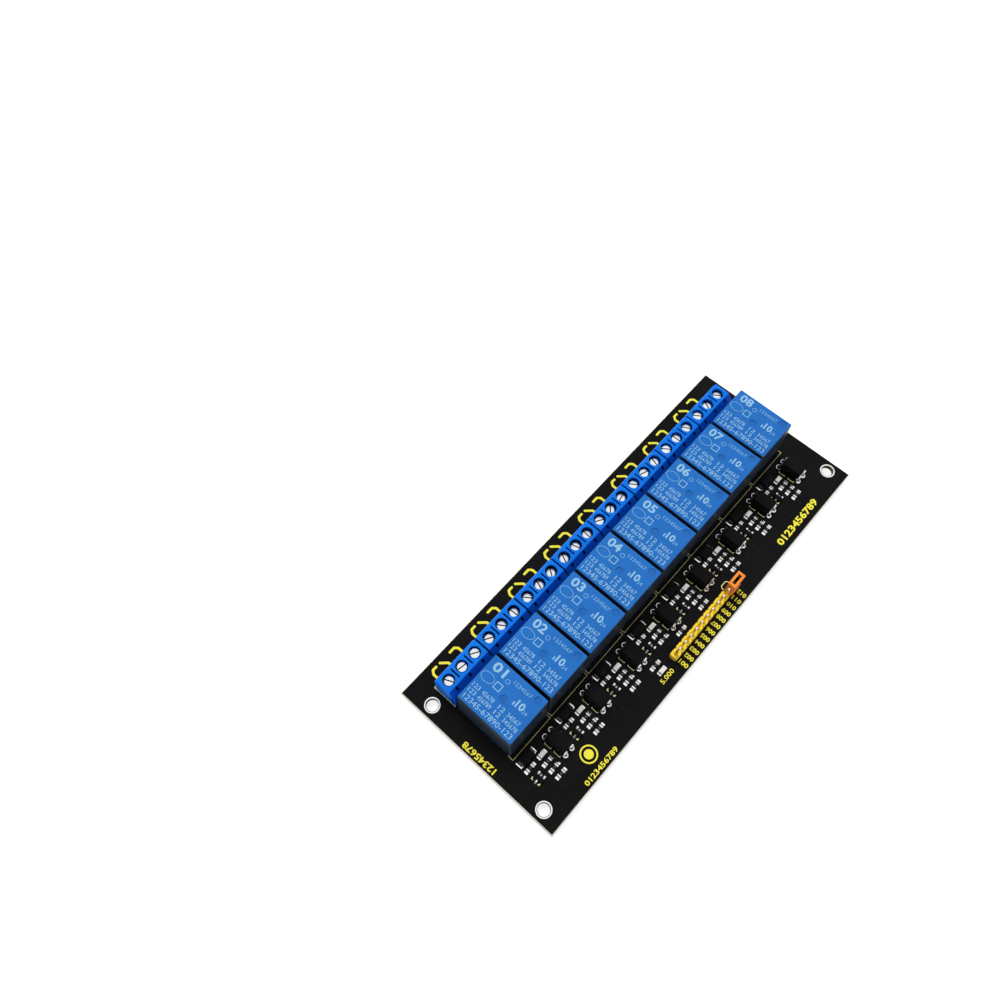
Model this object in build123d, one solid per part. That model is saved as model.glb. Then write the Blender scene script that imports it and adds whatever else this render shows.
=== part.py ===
"""Eight-channel relay module: a bare circuit board with a row of sealed relays, a row of
three-pole screw terminals behind them, and the drive parts and pin header in front.

The origin is below the middle of the board, level with the soldered tips that it stands on.
X runs along the row of relays, Y from the pin header to the screw terminals, Z up.
"""
import os
from math import atan2, degrees

from build123d import *

os.makedirs("parts", exist_ok=True)

# Rows and channels
channels = 8
relay_gap = 0.375
terminal_gap = 0.525
end_margin = 7.35

# Circuit board, with the header's row measured from its front edge, and the steps from the
# header to the drive parts, from those to the relays, and so on to the back edge
board_thickness = 1.6
tip_drop = 2.0
header_row = 5.5
drive_gap = 1.075
drive_row_pitch = 2.34
diode_step = 2.6
relay_gap_to_diode = 1.98
terminal_set_back = 0.85
back_margin = 6.35

# Fixing holes, for M3 screws
fixing_bore = 3.5
fixing_inset_x = 3.55
fixing_inset_front = 5.9
fixing_inset_back = 8.85

# Clearance on each side of a pin in the board, and of a part in a moulded slot
hole_clearance = 0.15
slot_clearance = 0.1

# Relay
relay_width = 15.5
relay_length = 19.2
relay_height = 15.3
relay_draft_x = 0.29
relay_draft_y = 0.385
relay_corner = 0.35
relay_top_chamfer = 0.15
relay_wall = 0.9
relay_standoff = 0.3
relay_foot = 1.2
base_thickness = 1.8
base_recess = 0.25
base_clearance = 0.05

# Relay pins: a row of two for the coil, one common contact and two fixed contacts
coil_pin = 0.6
contact_pin_width = 1.0
contact_pin_thickness = 0.5
common_pin_inset = 2.4
coil_row_step = 2.0
contact_pin_inset = 2.6
side_pin_inset = 1.75

# Screw terminal, one block as long as its channel
poles = 3
pole_partition = 0.98
terminal_end_wall = 0.055
terminal_depth = 7.55
terminal_height = 10.0
terminal_top_front = 1.95
terminal_top_back = 0.65
front_slope_drop = 2.6
back_slope_drop = 2.0
screw_line = 4.45
well_width = 3.5
well_sides = 16
chamber_depth = 5.1
well_depth = 3.0
entry_lip = 0.3
divider_width = 0.4
divider_length = 3.3
divider_depth = 1.2
probe_slot_width = 0.8
probe_slot_height = 1.2
probe_slot_drop = 0.85
probe_slot_depth = 0.75
dovetail_width = 0.8
dovetail_depth = 0.5
dovetail_height = 7.6
dovetail_front = 0.5
dovetail_gap = 0.1

# Clamp cage, screw and leg of one pole
cage_wall = 0.6
cage_clearance = 0.15
cage_headroom = 0.9
cage_sill = 1.1
screw_head_clearance = 0.25
screw_head_height = 1.6
screw_slot_width = 0.5
screw_slot_depth = 0.7
screw_sides = 12
screw_core = 1.8
screw_core_clearance = 0.1
leg_width = 1.0
leg_thickness = 0.6
tongue_clearance = 0.2
tongue_length = 3.9
tongue_drop = 0.2

# How far the screws of each block are turned in below its top, as they were found, and the
# way each slot points in degrees from X
screws_turned_in = (0.6, 1.0, 1.2, 1.3, 1.4, 1.4, 1.4, 1.5)
slot_turns = (
    (115, 170, 150), (150, 125, 95), (125, 70, 55), (65, 105, 85),
    (150, 40, 10), (125, 160, 75), (125, 90, 120), (125, 65, 125),
)

# Optocoupler, four leads in two rows
opto_side = 3.9
opto_step = 5.8
opto_width = 4.6
opto_length = 6.5
opto_height = 3.5
opto_standoff = 0.8
opto_inset = 0.45
opto_lead_pitch = 2.54
opto_lead_span = 7.62
opto_lead_width = 1.2
opto_leg_width = 0.5
opto_lead_thickness = 0.25

# Flyback diode, with a foot folded under each end
diode_side = -4.86
diode_length = 4.3
diode_width = 2.6
diode_height = 2.1
diode_inset = 0.12
diode_foot_length = 1.2
diode_foot_width = 1.45
diode_foot_thickness = 0.2
diode_lead_reach = 0.4

# Transistor, one lead on the left and two on the right
transistor_side = -6.73
transistor_step = 3.6
transistor_body_width = 1.3
transistor_body_length = 2.9
transistor_body_height = 0.95
transistor_standoff = 0.1
transistor_inset = 0.06
transistor_lead_pitch = 1.9
transistor_lead_reach = 0.55
transistor_lead_width = 0.42
transistor_lead_thickness = 0.15

# Chip resistors and lamps. In one channel, the front drive resistor stands aside, before the
# optocoupler
input_resistor_side = -6.26
drive_resistor_side = -1.79
aside_channel = 4
aside_resistor_side = 3.6
resistor_length = 2.0
resistor_width = 1.25
resistor_height = 0.5
lamp_side = -1.5
lamp_length = 3.2
lamp_width = 1.6
lamp_base_height = 0.4
lamp_lens_length = 2.0
lamp_lens_height = 0.7
power_lamp_gap = 2.88
power_resistor_step = 2.3

# Pin header and jumper
header_pins = 12
header_pitch = 2.54
header_middle = 2.32
header_depth = 2.5
header_height = 2.54
header_chamfer = 0.4
header_pin = 0.64
header_pin_reach = 8.6
header_pin_point = 0.18
jumper_height = 6.1
jumper_end_wall = 0.45
jumper_side_wall = 0.68
jumper_roof = 1.0
jumper_rib_depth = 0.35
jumper_rib_length = 2.5
clip_thickness = 0.2
clip_leaf_width = 1.2
clip_end_gap = 0.23
clip_bridge_drop = 0.3
clip_leaf_drop = 3.4

# Rows that follow from the sizes above, measured from the board's front edge
drive_row = header_row + header_depth / 2 + drive_gap + resistor_width / 2
lamp_row = drive_row + 3 * drive_row_pitch
opto_row = drive_row + opto_step
transistor_row = drive_row + transistor_step
diode_row = lamp_row + diode_step
relay_front = diode_row + diode_width / 2 + relay_gap_to_diode
terminal_row = relay_front + relay_length + terminal_set_back
board_width = terminal_row + terminal_depth + back_margin

# Levels, lengths and places that follow
board_top = tip_drop + board_thickness
front_edge = -board_width / 2
channel_pitch = relay_width + relay_gap
terminal_length = channel_pitch - terminal_gap
pole_pitch = (terminal_length - 2 * terminal_end_wall) / poles
board_length = channels * channel_pitch + 2 * end_margin
relay_y = front_edge + relay_front + relay_length / 2
terminal_front = front_edge + terminal_row
header_y = front_edge + header_row
relay_rim = board_top + relay_standoff
base_underside = relay_rim + base_recess
chamber_width = pole_pitch - pole_partition
chamber_height = terminal_height - well_depth
entry_width = chamber_width - 2 * entry_lip
cage_width = chamber_width - 2 * cage_clearance
cage_height = chamber_height - cage_headroom - cage_sill
cage_window = cage_height - 2 * cage_wall
screw_head = well_width - 2 * screw_head_clearance
tongue_width = cage_width - 2 * (cage_wall + tongue_clearance)
tongue_top = cage_sill + cage_height - cage_wall - tongue_drop
diode_span = diode_length + 2 * diode_lead_reach
transistor_span = transistor_body_width + 2 * transistor_lead_reach
first_pin_x = header_middle - (header_pins - 1) / 2 * header_pitch
power_x = first_pin_x - header_pitch / 2 - power_lamp_gap - lamp_length / 2
jumper_x = header_middle + (header_pins / 2 - 1) * header_pitch
jumper_seat = board_top + header_height
jumper_socket_width = header_pin + 2 * clip_thickness
jumper_socket_length = header_pitch + clip_leaf_width + 2 * clip_end_gap
jumper_length = jumper_socket_length + 2 * jumper_end_wall
jumper_depth = jumper_socket_width + 2 * jumper_side_wall


def channel_x(channel):
    """The middle of a channel, counted from 0 at the left end."""
    return (channel - (channels - 1) / 2) * channel_pitch


def pole_x(pole):
    """The middle of a pole, measured from the middle of its block."""
    return (pole - (poles - 1) / 2) * pole_pitch


def standing_box(width, depth, height):
    """A box centred on its footprint, with its underside at zero."""
    return Box(width, depth, height, align=(Align.CENTER, Align.CENTER, Align.MIN))


def export(shape, node):
    """Write one node."""
    export_step(shape, f"parts/{node}.step")


# Pin places, each as the (x, y) of its hole
common_y = relay_y - relay_length / 2 + common_pin_inset
coil_row_y = common_y + coil_row_step
contact_row_y = relay_y + relay_length / 2 - contact_pin_inset
pin_reach_x = relay_width / 2 - side_pin_inset
leg_line = slot_clearance + (leg_thickness - chamber_depth) / 2
leg_y = terminal_front + screw_line + leg_line
opto_y = front_edge + opto_row


def coil_places(channel):
    return [(channel_x(channel) + side * pin_reach_x, coil_row_y) for side in (-1, 1)]


def contact_places(channel):
    fixed = [(channel_x(channel) + side * pin_reach_x, contact_row_y) for side in (-1, 1)]
    return [(channel_x(channel), common_y)] + fixed


def leg_places(channel):
    return [(channel_x(channel) + pole_x(pole), leg_y) for pole in range(poles)]


def opto_lead_places(channel):
    """Each lead's place, with -1 or 1 for the side of the body that it leaves."""
    middle = channel_x(channel) + opto_side
    return [
        (middle + along * opto_lead_pitch / 2, opto_y + side * opto_lead_span / 2, side)
        for side in (-1, 1)
        for along in (-1, 1)
    ]


def header_places():
    return [(first_pin_x + pin * header_pitch, header_y) for pin in range(header_pins)]


def fixing_places():
    reach_x = board_length / 2 - fixing_inset_x
    rows = (front_edge + fixing_inset_front, -front_edge - fixing_inset_back)
    return [(side * reach_x, row) for row in rows for side in (-1, 1)]


def pin_holes(places, pin_width, pin_thickness):
    """Holes cut to a pin's own section, with the clearance that its solder fills."""
    hole = Rectangle(pin_width + 2 * hole_clearance, pin_thickness + 2 * hole_clearance)
    return [Pos(*place) * hole for place in places]


# Circuit board
def circuit_board():
    holes = [Pos(*place) * Circle(fixing_bore / 2) for place in fixing_places()]
    holes += pin_holes(header_places(), header_pin, header_pin)
    for channel in range(channels):
        holes += pin_holes(coil_places(channel), coil_pin, coil_pin)
        holes += pin_holes(contact_places(channel), contact_pin_width, contact_pin_thickness)
        holes += pin_holes(leg_places(channel), leg_width, leg_thickness)
        lead_places = [(x, y) for x, y, side in opto_lead_places(channel)]
        holes += pin_holes(lead_places, opto_leg_width, opto_lead_thickness)
    outline = Rectangle(board_length, board_width) - holes
    return Pos(0, 0, tip_drop) * extrude(outline, board_thickness)


# Relay
def relay_cover():
    """The drafted case with cut corners, open below for its base."""
    shoulder_height = relay_height - relay_top_chamfer

    def section(level, inset):
        draft = level / relay_height
        width = relay_width - 2 * (relay_draft_x * draft + inset)
        length = relay_length - 2 * (relay_draft_y * draft + inset)
        outline = chamfer(Rectangle(width, length).vertices(), relay_corner)
        return Pos(0, 0, level) * outline

    walls = loft([section(0, 0), section(shoulder_height, 0)])
    edge = loft([section(shoulder_height, 0), section(relay_height, relay_top_chamfer)])
    recess_height = base_recess + base_thickness
    recess = standing_box(relay_width - 2 * relay_wall, relay_length - 2 * relay_wall, recess_height)
    return walls + edge - recess


def relay_base():
    """The base plate inside the case's rim, with a foot near each corner."""
    width = relay_width - 2 * (relay_wall + base_clearance)
    length = relay_length - 2 * (relay_wall + base_clearance)
    feet_span_x = width - relay_foot
    feet_span_y = length - relay_foot
    foot_height = relay_standoff + base_recess
    foot = standing_box(relay_foot, relay_foot, foot_height)
    feet = GridLocations(feet_span_x, feet_span_y, 2, 2) * foot
    plate = Pos(0, 0, foot_height) * standing_box(width, length, base_thickness)
    return plate + feet


def relay_pins():
    length = base_underside
    coil = standing_box(coil_pin, coil_pin, length)
    contact = standing_box(contact_pin_width, contact_pin_thickness, length)
    pins = []
    for channel in range(channels):
        pins += [Pos(x, y, 0) * coil for x, y in coil_places(channel)]
        pins += [Pos(x, y, 0) * contact for x, y in contact_places(channel)]
    return Compound(children=pins)


# Screw terminal
def terminal_profile():
    """The end view of a block, drawn in the YZ plane from its front foot."""
    return Polyline(
        (0, 0), (terminal_depth, 0),
        (terminal_depth, terminal_height - back_slope_drop),
        (terminal_depth - terminal_top_back, terminal_height),
        (terminal_top_front, terminal_height),
        (0, terminal_height - front_slope_drop), close=True,
    )


def terminal_housing():
    face = Plane.YZ * make_face(terminal_profile())
    block = extrude(face, terminal_length / 2, both=True)
    chamber = standing_box(chamber_width, chamber_depth, chamber_height)
    well = extrude(RegularPolygon(well_width / 2, well_sides), terminal_height)
    entry_reach = terminal_depth - screw_line
    entry_height = cage_window - 2 * slot_clearance
    entry = Box(entry_width, entry_reach, entry_height, align=(Align.CENTER, Align.MIN, Align.MIN))
    slot_angle_rise = front_slope_drop / terminal_top_front
    slot_front = (front_slope_drop - probe_slot_drop) / slot_angle_rise
    slot_height = terminal_height - probe_slot_drop
    probe = Box(probe_slot_width, 2 * probe_slot_depth, probe_slot_height)
    for pole in range(poles):
        block -= Pos(pole_x(pole), screw_line, 0) * chamber
        block -= Pos(pole_x(pole), screw_line, 0) * well
        block -= Pos(pole_x(pole), screw_line, cage_sill + cage_wall) * entry
        block -= Pos(pole_x(pole), slot_front, slot_height) * probe
    divider = Box(divider_width, divider_length, 2 * divider_depth)
    for wall in range(poles - 1):
        block -= Pos(pole_x(wall) + pole_pitch / 2, screw_line, terminal_height) * divider
    groove = Box(2 * dovetail_depth, dovetail_width, dovetail_height,
                 align=(Align.CENTER, Align.MIN, Align.MIN))
    tongue_width_y = dovetail_width - 2 * dovetail_gap
    tongue_reach = dovetail_depth - dovetail_gap
    tongue = Box(tongue_reach, tongue_width_y, dovetail_height - 2 * dovetail_gap,
                 align=(Align.MIN, Align.MIN, Align.MIN))
    block -= Pos(-terminal_length / 2, dovetail_front, 0) * groove
    block += Pos(terminal_length / 2, dovetail_front + dovetail_gap, 0) * tongue
    return block


def terminal_cage():
    """The cage that a wire goes into: a band, open to the front and back, with a threaded roof."""
    front = leg_line + leg_thickness / 2 + cage_clearance
    back = chamber_depth / 2 - cage_clearance
    band = standing_box(cage_width, back - front, cage_height)
    window_width = cage_width - 2 * cage_wall
    band -= Pos(0, 0, cage_wall) * standing_box(window_width, back - front, cage_window)
    thread_width = screw_core + 2 * screw_core_clearance
    thread = standing_box(thread_width, thread_width, 2 * cage_wall)
    cage = Pos(0, (front + back) / 2, 0) * band
    cage -= Pos(0, 0, cage_height - 1.5 * cage_wall) * thread
    return Pos(0, 0, cage_sill) * cage


def terminal_screw(turned_in, slot_turn):
    """A slotted screw, its head below the block's top and its end down on the tongue."""
    head_top = terminal_height - turned_in
    head_foot = head_top - screw_head_height
    head = extrude(Pos(0, 0, head_foot) * RegularPolygon(screw_head / 2, screw_sides), screw_head_height)
    shank = Pos(0, 0, tongue_top) * standing_box(screw_core, screw_core, head_foot - tongue_top)
    slot = Box(2 * screw_head, screw_slot_width, 2 * screw_slot_depth)
    return head + shank - Pos(0, 0, head_top) * Rot(0, 0, slot_turn) * slot


def terminal_leg():
    """The tinned leg: a tongue under the cage's roof, folded down through the board."""
    front = leg_line - leg_thickness / 2
    tongue = Box(tongue_width, tongue_length, leg_thickness, align=(Align.CENTER, Align.MIN, Align.MAX))
    drop = board_top + tongue_top
    leg = Box(leg_width, leg_thickness, drop, align=(Align.CENTER, Align.MIN, Align.MAX))
    return Pos(0, front, tongue_top) * (tongue + leg)


def every_pole(shape_of):
    """A shape at every pole's screw line, from a function of the channel and the pole."""
    copies = []
    for channel in range(channels):
        for pole in range(poles):
            place = Pos(channel_x(channel) + pole_x(pole), leg_y - leg_line, board_top)
            copies.append(place * shape_of(channel, pole))
    return Compound(copies)


def found_screw(channel, pole):
    return terminal_screw(screws_turned_in[channel], slot_turns[channel][pole])


# Optocoupler, diode and transistor
def moulded_body(width, length, height, inset):
    """A moulded body, drawn in from its waist at half its height to both its ends."""
    half = height / 2
    draft = degrees(atan2(inset, half))
    waist = Pos(0, 0, half) * Rectangle(width, length)
    return extrude(waist, half, taper=draft) + extrude(waist, -half, taper=draft)


def optocoupler():
    return moulded_body(opto_width, opto_length, opto_height, opto_inset)


def opto_lead():
    """A lead that leaves the body towards +Y at its waist, drawn from its own leg."""
    waist = opto_standoff + opto_height / 2
    reach = (opto_lead_span - opto_length) / 2 + opto_lead_thickness / 2
    outer = opto_lead_thickness / 2
    upright = Box(opto_lead_width, opto_lead_thickness, waist, align=(Align.CENTER, Align.MAX, Align.MIN))
    shoulder = Box(opto_lead_width, reach, opto_lead_thickness, align=(Align.CENTER, Align.MAX, Align.MAX))
    leg = Box(opto_leg_width, opto_lead_thickness, board_top, align=(Align.CENTER, Align.MAX, Align.MAX))
    lead = upright + Pos(0, 0, waist) * shoulder + leg
    return Pos(0, outer, 0) * lead


def optocoupler_leads():
    lead = opto_lead()
    leads = []
    for channel in range(channels):
        for x, y, side in opto_lead_places(channel):
            turn = 0 if side > 0 else 180
            leads.append(Pos(x, y, board_top) * Rot(0, 0, turn) * lead)
    return Compound(leads)


def diode():
    return moulded_body(diode_length, diode_width, diode_height, diode_inset)


def diode_lead():
    """A strip that leaves the body's right end at its waist and folds back under it."""
    outer = diode_span / 2
    inner = outer - diode_foot_thickness
    waist = diode_foot_thickness + diode_height / 2
    under = outer - diode_foot_length
    section = Polyline(
        (diode_length / 2, waist), (outer, waist), (outer, 0), (under, 0),
        (under, diode_foot_thickness), (inner, diode_foot_thickness),
        (inner, waist - diode_foot_thickness), (diode_length / 2, waist - diode_foot_thickness),
        close=True,
    )
    return extrude(Plane.XZ * make_face(section), diode_foot_width / 2, both=True)


def transistor():
    return moulded_body(
        transistor_body_width, transistor_body_length, transistor_body_height, transistor_inset
    )


def transistor_lead():
    """A lead on the body's right side, running down and out to its pad."""
    waist = transistor_standoff + transistor_body_height / 2
    body_side = transistor_body_width / 2
    outer = transistor_span / 2
    thickness = transistor_lead_thickness
    section = Polyline(
        (body_side, waist), (outer, thickness), (outer, 0), (body_side, waist - thickness), close=True
    )
    return extrude(Plane.XZ * make_face(section), transistor_lead_width / 2, both=True)


def every_channel(shape, side, row):
    """A shape in every channel, at its place beside the channel's middle."""
    return Compound([Pos(channel_x(c) + side, front_edge + row, board_top) * shape for c in range(channels)])


def transistor_leads():
    lead = transistor_lead()
    half = transistor_lead_pitch / 2
    three = [Rot(0, 0, 180) * lead, Pos(0, half, 0) * lead, Pos(0, -half, 0) * lead]
    copies = []
    for channel in range(channels):
        place = Pos(channel_x(channel) + transistor_side, front_edge + transistor_row, board_top)
        copies += [place * one for one in three]
    return Compound(copies)


def diode_leads():
    lead = diode_lead()
    copies = []
    for channel in range(channels):
        place = Pos(channel_x(channel) + diode_side, front_edge + diode_row, board_top)
        copies += [place * lead, place * Rot(0, 0, 180) * lead]
    return Compound(copies)


# Chip resistors and lamps
def resistor_places():
    """Four in each channel, and one beside the power lamp."""
    places = [(power_x, header_y + power_resistor_step)]
    for channel in range(channels):
        middle = channel_x(channel)
        for step in range(3):
            aside = channel + 1 == aside_channel and step == 0
            side = aside_resistor_side if aside else drive_resistor_side
            places.append((middle + side, front_edge + drive_row + step * drive_row_pitch))
        places.append((middle + input_resistor_side, front_edge + lamp_row))
    return places


def chip_resistors():
    chip = standing_box(resistor_length, resistor_width, resistor_height)
    return Compound([Pos(x, y, board_top) * chip for x, y in resistor_places()])


def lamp():
    """A chip lamp: a flat carrier with a clear block on its middle."""
    carrier = standing_box(lamp_length, lamp_width, lamp_base_height)
    lens = standing_box(lamp_lens_length, lamp_width, lamp_lens_height)
    return carrier + Pos(0, 0, lamp_base_height) * lens


# Pin header and jumper
def header_strip():
    """One moulded strip: a cell with cut corners for each pin."""
    cell = chamfer(Rectangle(header_pitch, header_depth).vertices(), header_chamfer)
    outline = Sketch() + [Pos(*place) * cell for place in header_places()]
    outline -= [Pos(*place) * Rectangle(header_pin, header_pin) for place in header_places()]
    return Pos(0, 0, board_top) * extrude(outline, header_height)


def header_pin_row():
    """Square pins, pointed at the top."""
    body = standing_box(header_pin, header_pin, board_top + header_pin_reach)
    pin = chamfer(body.faces().sort_by(Axis.Z)[-1].edges(), header_pin_point)
    return Compound([Pos(*place, 0) * pin for place in header_places()])


def jumper_cap():
    """A shunt's housing: a socket from below for two pins and the spring leaves beside them, a
    window through its roof and a grip rib."""
    cap = standing_box(jumper_length, jumper_depth, jumper_height)
    rib = Box(jumper_rib_length, jumper_rib_depth, jumper_height - jumper_roof,
              align=(Align.MIN, Align.MAX, Align.MIN))
    cap += Pos(-jumper_length / 2, -jumper_depth / 2, 0) * rib
    cap -= standing_box(jumper_socket_length, jumper_socket_width, jumper_height - jumper_roof)
    window_width = header_pin + 2 * slot_clearance
    cap -= standing_box(header_pitch + window_width, window_width, jumper_height)
    return Pos(jumper_x, header_y, jumper_seat) * cap


def jumper_clip():
    """The spring inside the cap: a long leaf on each side of both pins, joined between them."""
    top = jumper_height - jumper_roof - clip_bridge_drop
    bridge_length = header_pitch - header_pin - 2 * slot_clearance
    bridge = Box(bridge_length, jumper_socket_width, clip_thickness,
                 align=(Align.CENTER, Align.CENTER, Align.MAX))
    leaf = Box(header_pitch + clip_leaf_width, clip_thickness, clip_leaf_drop,
               align=(Align.CENTER, Align.CENTER, Align.MAX))
    leaf_y = (header_pin + clip_thickness) / 2
    clip = bridge + Pos(0, leaf_y, 0) * leaf + Pos(0, -leaf_y, 0) * leaf
    return Pos(jumper_x, header_y, jumper_seat + top) * clip


# Every node
export(circuit_board(), "circuit_board")
cover = relay_cover()
base = relay_base()
housing = terminal_housing()
coupler = optocoupler()
flyback = diode()
for channel in range(channels):
    name = channel + 1
    x = channel_x(channel)
    export(Pos(x, relay_y, relay_rim) * cover, f"relay_cover_{name}")
    export(Pos(x, relay_y, board_top) * base, f"relay_base_{name}")
    export(Pos(x, terminal_front, board_top) * housing, f"terminal_housing_{name}")
    export(Pos(x + opto_side, opto_y, board_top + opto_standoff) * coupler, f"optocoupler_{name}")
    diode_place = Pos(x + diode_side, front_edge + diode_row, board_top + diode_foot_thickness)
    export(diode_place * flyback, f"flyback_diode_{name}")
export(relay_pins(), "relay_pins")
export(every_pole(lambda channel, pole: terminal_cage()), "terminal_cages")
export(every_pole(lambda channel, pole: terminal_leg()), "terminal_legs")
export(every_pole(found_screw), "terminal_screws")
export(optocoupler_leads(), "optocoupler_leads")
export(diode_leads(), "diode_leads")
raised_transistor = Pos(0, 0, transistor_standoff) * transistor()
export(every_channel(raised_transistor, transistor_side, transistor_row), "transistors")
export(transistor_leads(), "transistor_leads")
export(chip_resistors(), "chip_resistors")
export(every_channel(lamp(), lamp_side, lamp_row), "channel_lamps")
export(Pos(power_x, header_y, board_top) * lamp(), "power_lamp")
export(header_strip(), "header_strip")
export(header_pin_row(), "header_pins")
export(jumper_cap(), "jumper_cap")
export(jumper_clip(), "jumper_clip")
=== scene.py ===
"""Looks for an eight-channel relay module board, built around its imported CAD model."""

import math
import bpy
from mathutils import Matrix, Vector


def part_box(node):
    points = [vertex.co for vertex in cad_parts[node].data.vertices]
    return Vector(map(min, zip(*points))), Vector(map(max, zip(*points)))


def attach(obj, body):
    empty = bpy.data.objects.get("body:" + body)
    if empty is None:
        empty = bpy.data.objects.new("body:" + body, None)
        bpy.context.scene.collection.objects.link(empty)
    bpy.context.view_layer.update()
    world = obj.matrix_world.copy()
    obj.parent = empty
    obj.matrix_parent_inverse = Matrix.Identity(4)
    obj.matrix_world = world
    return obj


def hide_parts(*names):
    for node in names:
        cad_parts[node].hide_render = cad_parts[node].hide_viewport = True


bl_info = {
    "name": "Relay module board",
    "version": (1, 0, 0),
    "blender": (4, 5, 0),
    "location": "View3D > Sidebar > Relay Board",
    "description": "Dresses the relay module board and sets its studio",
    "category": "Object",
}

import bmesh
import bpy
from bmesh.types import BMEdge, BMVert
from bpy.props import FloatProperty, FloatVectorProperty, PointerProperty
from bpy.types import NodeSocket, Operator, Panel, PropertyGroup
from mathutils import Matrix, Vector

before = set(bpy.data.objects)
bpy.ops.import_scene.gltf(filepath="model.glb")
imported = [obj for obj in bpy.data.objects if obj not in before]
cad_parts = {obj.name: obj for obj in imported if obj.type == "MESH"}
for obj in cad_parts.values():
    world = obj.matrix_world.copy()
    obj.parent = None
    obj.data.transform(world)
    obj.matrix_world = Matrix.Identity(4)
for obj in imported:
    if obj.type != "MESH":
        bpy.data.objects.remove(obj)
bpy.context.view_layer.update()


def middle_of(node):
    """The middle of a node's box."""
    return [(low + high) / 2 for low, high in zip(*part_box(node))]


MM = 0.001
# Points nearer than this are one point, and edges flatter than this are shaded smooth
SAME = 1e-7
SMOOTH_BELOW = math.radians(38)
CHANNELS = 8
HEADER_PINS = 12
QUARTER = math.pi / 2
BOARD_LOW, BOARD_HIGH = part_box("circuit_board")
BOARD_TOP = BOARD_HIGH.z
LEFT, FRONT = BOARD_LOW.x, BOARD_LOW.y
MIDDLES = [middle_of(f"relay_cover_{n + 1}")[0] for n in range(CHANNELS)]
HEADER_LOW, HEADER_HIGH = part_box("header_strip")


# Sizes and colours that a user may change

def length(name, description, default):
    return FloatProperty(
        name=name, description=description, default=default * MM, min=0, unit="LENGTH", precision=5)


def share(name, description, default, top=1.0):
    return FloatProperty(name=name, description=description, default=default, min=0, max=top)


def colour(name, description, default):
    return FloatVectorProperty(
        name=name, description=description, default=default, size=3, min=0, max=1, subtype="COLOR")


class BoardLooks(PropertyGroup):
    mask: colour("Solder mask", "Satin black lacquer over the copper", (0.0060, 0.0060, 0.0064))
    core: colour("Core", "Glass-fibre core that shows along the edges", (0.92, 0.84, 0.72))
    # The bore's dark brown is painted shade, on the same fibre as the cream core.
    bore: colour("Bore", "Drilled fibre inside the holes", (0.20, 0.145, 0.09))
    ink: colour("Ink", "Yellow printed marks", (1.0, 0.88, 0.075))
    thin_ink: colour("Thin ink", "The same print where its lines are thin", (0.92, 0.84, 0.38))
    ink_height: length("Ink height", "How far the print stands above the mask", 0.03)
    track_height: length("Track height", "How far the tracks raise the mask", 0.02)
    pad_height: length("Pad height", "How far bare pads stand above the mask", 0.05)
    ring_radius: length("Ring radius", "Outside of the bare ring round a fixing hole", 2.28)
    bore_radius: length("Bore radius", "Inside of the same ring", 1.88)
    scored: length("Scored edge", "Width of the slope that breaking out left along each edge", 0.30)
    rim: length("Rim", "Width of the slope round each fixing hole", 0.12)


class RelayLooks(PropertyGroup):
    top: colour("Top", "Blue of the case's top", (0.024, 0.160, 0.52))
    # The walls' slate is painted shade: the cases are blue all round.
    side: colour("Side", "Slate of the case's walls", (0.021, 0.032, 0.054))
    # The corners' paler slate is a painted highlight.
    corner: colour("Corner", "Paler slate of the walls' rounded corners", (0.085, 0.092, 0.10))
    gate: colour("Gate", "Round gate marks in the top", (0.020, 0.136, 0.45))
    base: colour("Base", "Base plate under the case", (0.012, 0.018, 0.03))
    ink: colour("Ink", "Pale blue print on the top", (0.30, 0.56, 0.80))
    faint_ink: colour("Faint ink", "The same print where it is thin", (0.21, 0.47, 0.77))
    print_height: length("Print height", "How far the print stands above the top", 0.02)
    edge_radius: length("Edge radius", "Rounding of the case's edges", 0.3)
    dimple_radius: length("Dimple radius", "Round gate marks in the top", 1.1)
    dimple_depth: length("Dimple depth", "Depth of the gate marks", 0.2)


class TerminalLooks(PropertyGroup):
    body: colour("Body", "Bright blue moulding", (0.007, 0.185, 0.80))
    # The slope's deeper blue is painted shade.
    slope: colour("Slope", "The same moulding on its sloped front", (0.002, 0.095, 0.80))
    # This colour is painted shade, for the moulding in the wells, slots and ends between blocks.
    well: colour("Well", "The same moulding deep in its wells and slots", (0.0, 0.006, 0.05))
    # The slight blue in this plating is a painted reflection of the blue wells round the screws.
    screw: colour("Screw", "Bright nickel plating", (0.87, 0.91, 0.96))
    slot: colour("Slot", "Shaded plating in the slot of a screw", (0.10, 0.105, 0.12))
    cage: colour("Cage", "Nickel-plated clamp cages", (0.60, 0.59, 0.55))
    edge_radius: length("Edge radius", "Rounding of the block's edges", 0.12)
    well_radius: length("Well radius", "Bore above each screw", 1.78)
    head_radius: length("Head radius", "Screw head", 1.5)
    head_height: length("Head height", "Screw head", 1.6)
    slot_width: length("Slot width", "Slot in a screw head", 0.36)
    slot_depth: length("Slot depth", "Slot in a screw head", 0.7)


class DriveLooks(PropertyGroup):
    mould: colour("Mould", "Black moulding of the small parts", (0.0056, 0.0056, 0.0058))
    metal: colour("Metal", "Tinned leads, pads and solder", (0.95, 0.95, 0.94))
    # Darkened further, the same colour is painted shade on the diode leads and on the couplers' back leads.
    dull: colour("Dull metal", "Leads and pads that the solder left dull", (0.26, 0.26, 0.26))
    ceramic: colour("Ceramic", "White ceramic of the chip parts", (0.72, 0.70, 0.66))
    glaze: colour("Glaze", "Black glaze of a chip resistor", (0.0075, 0.0075, 0.0085))
    code: colour("Code", "Grey figures on the glaze", (0.16, 0.16, 0.16))
    lens: colour("Lens", "Pale moulding of a chip lamp", (0.82, 0.77, 0.73))
    band: colour("Band", "Dark band at one end of a lamp", (0.02, 0.035, 0.06))
    edge_radius: length("Edge radius", "Rounding of the mouldings' edges", 0.08)


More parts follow.
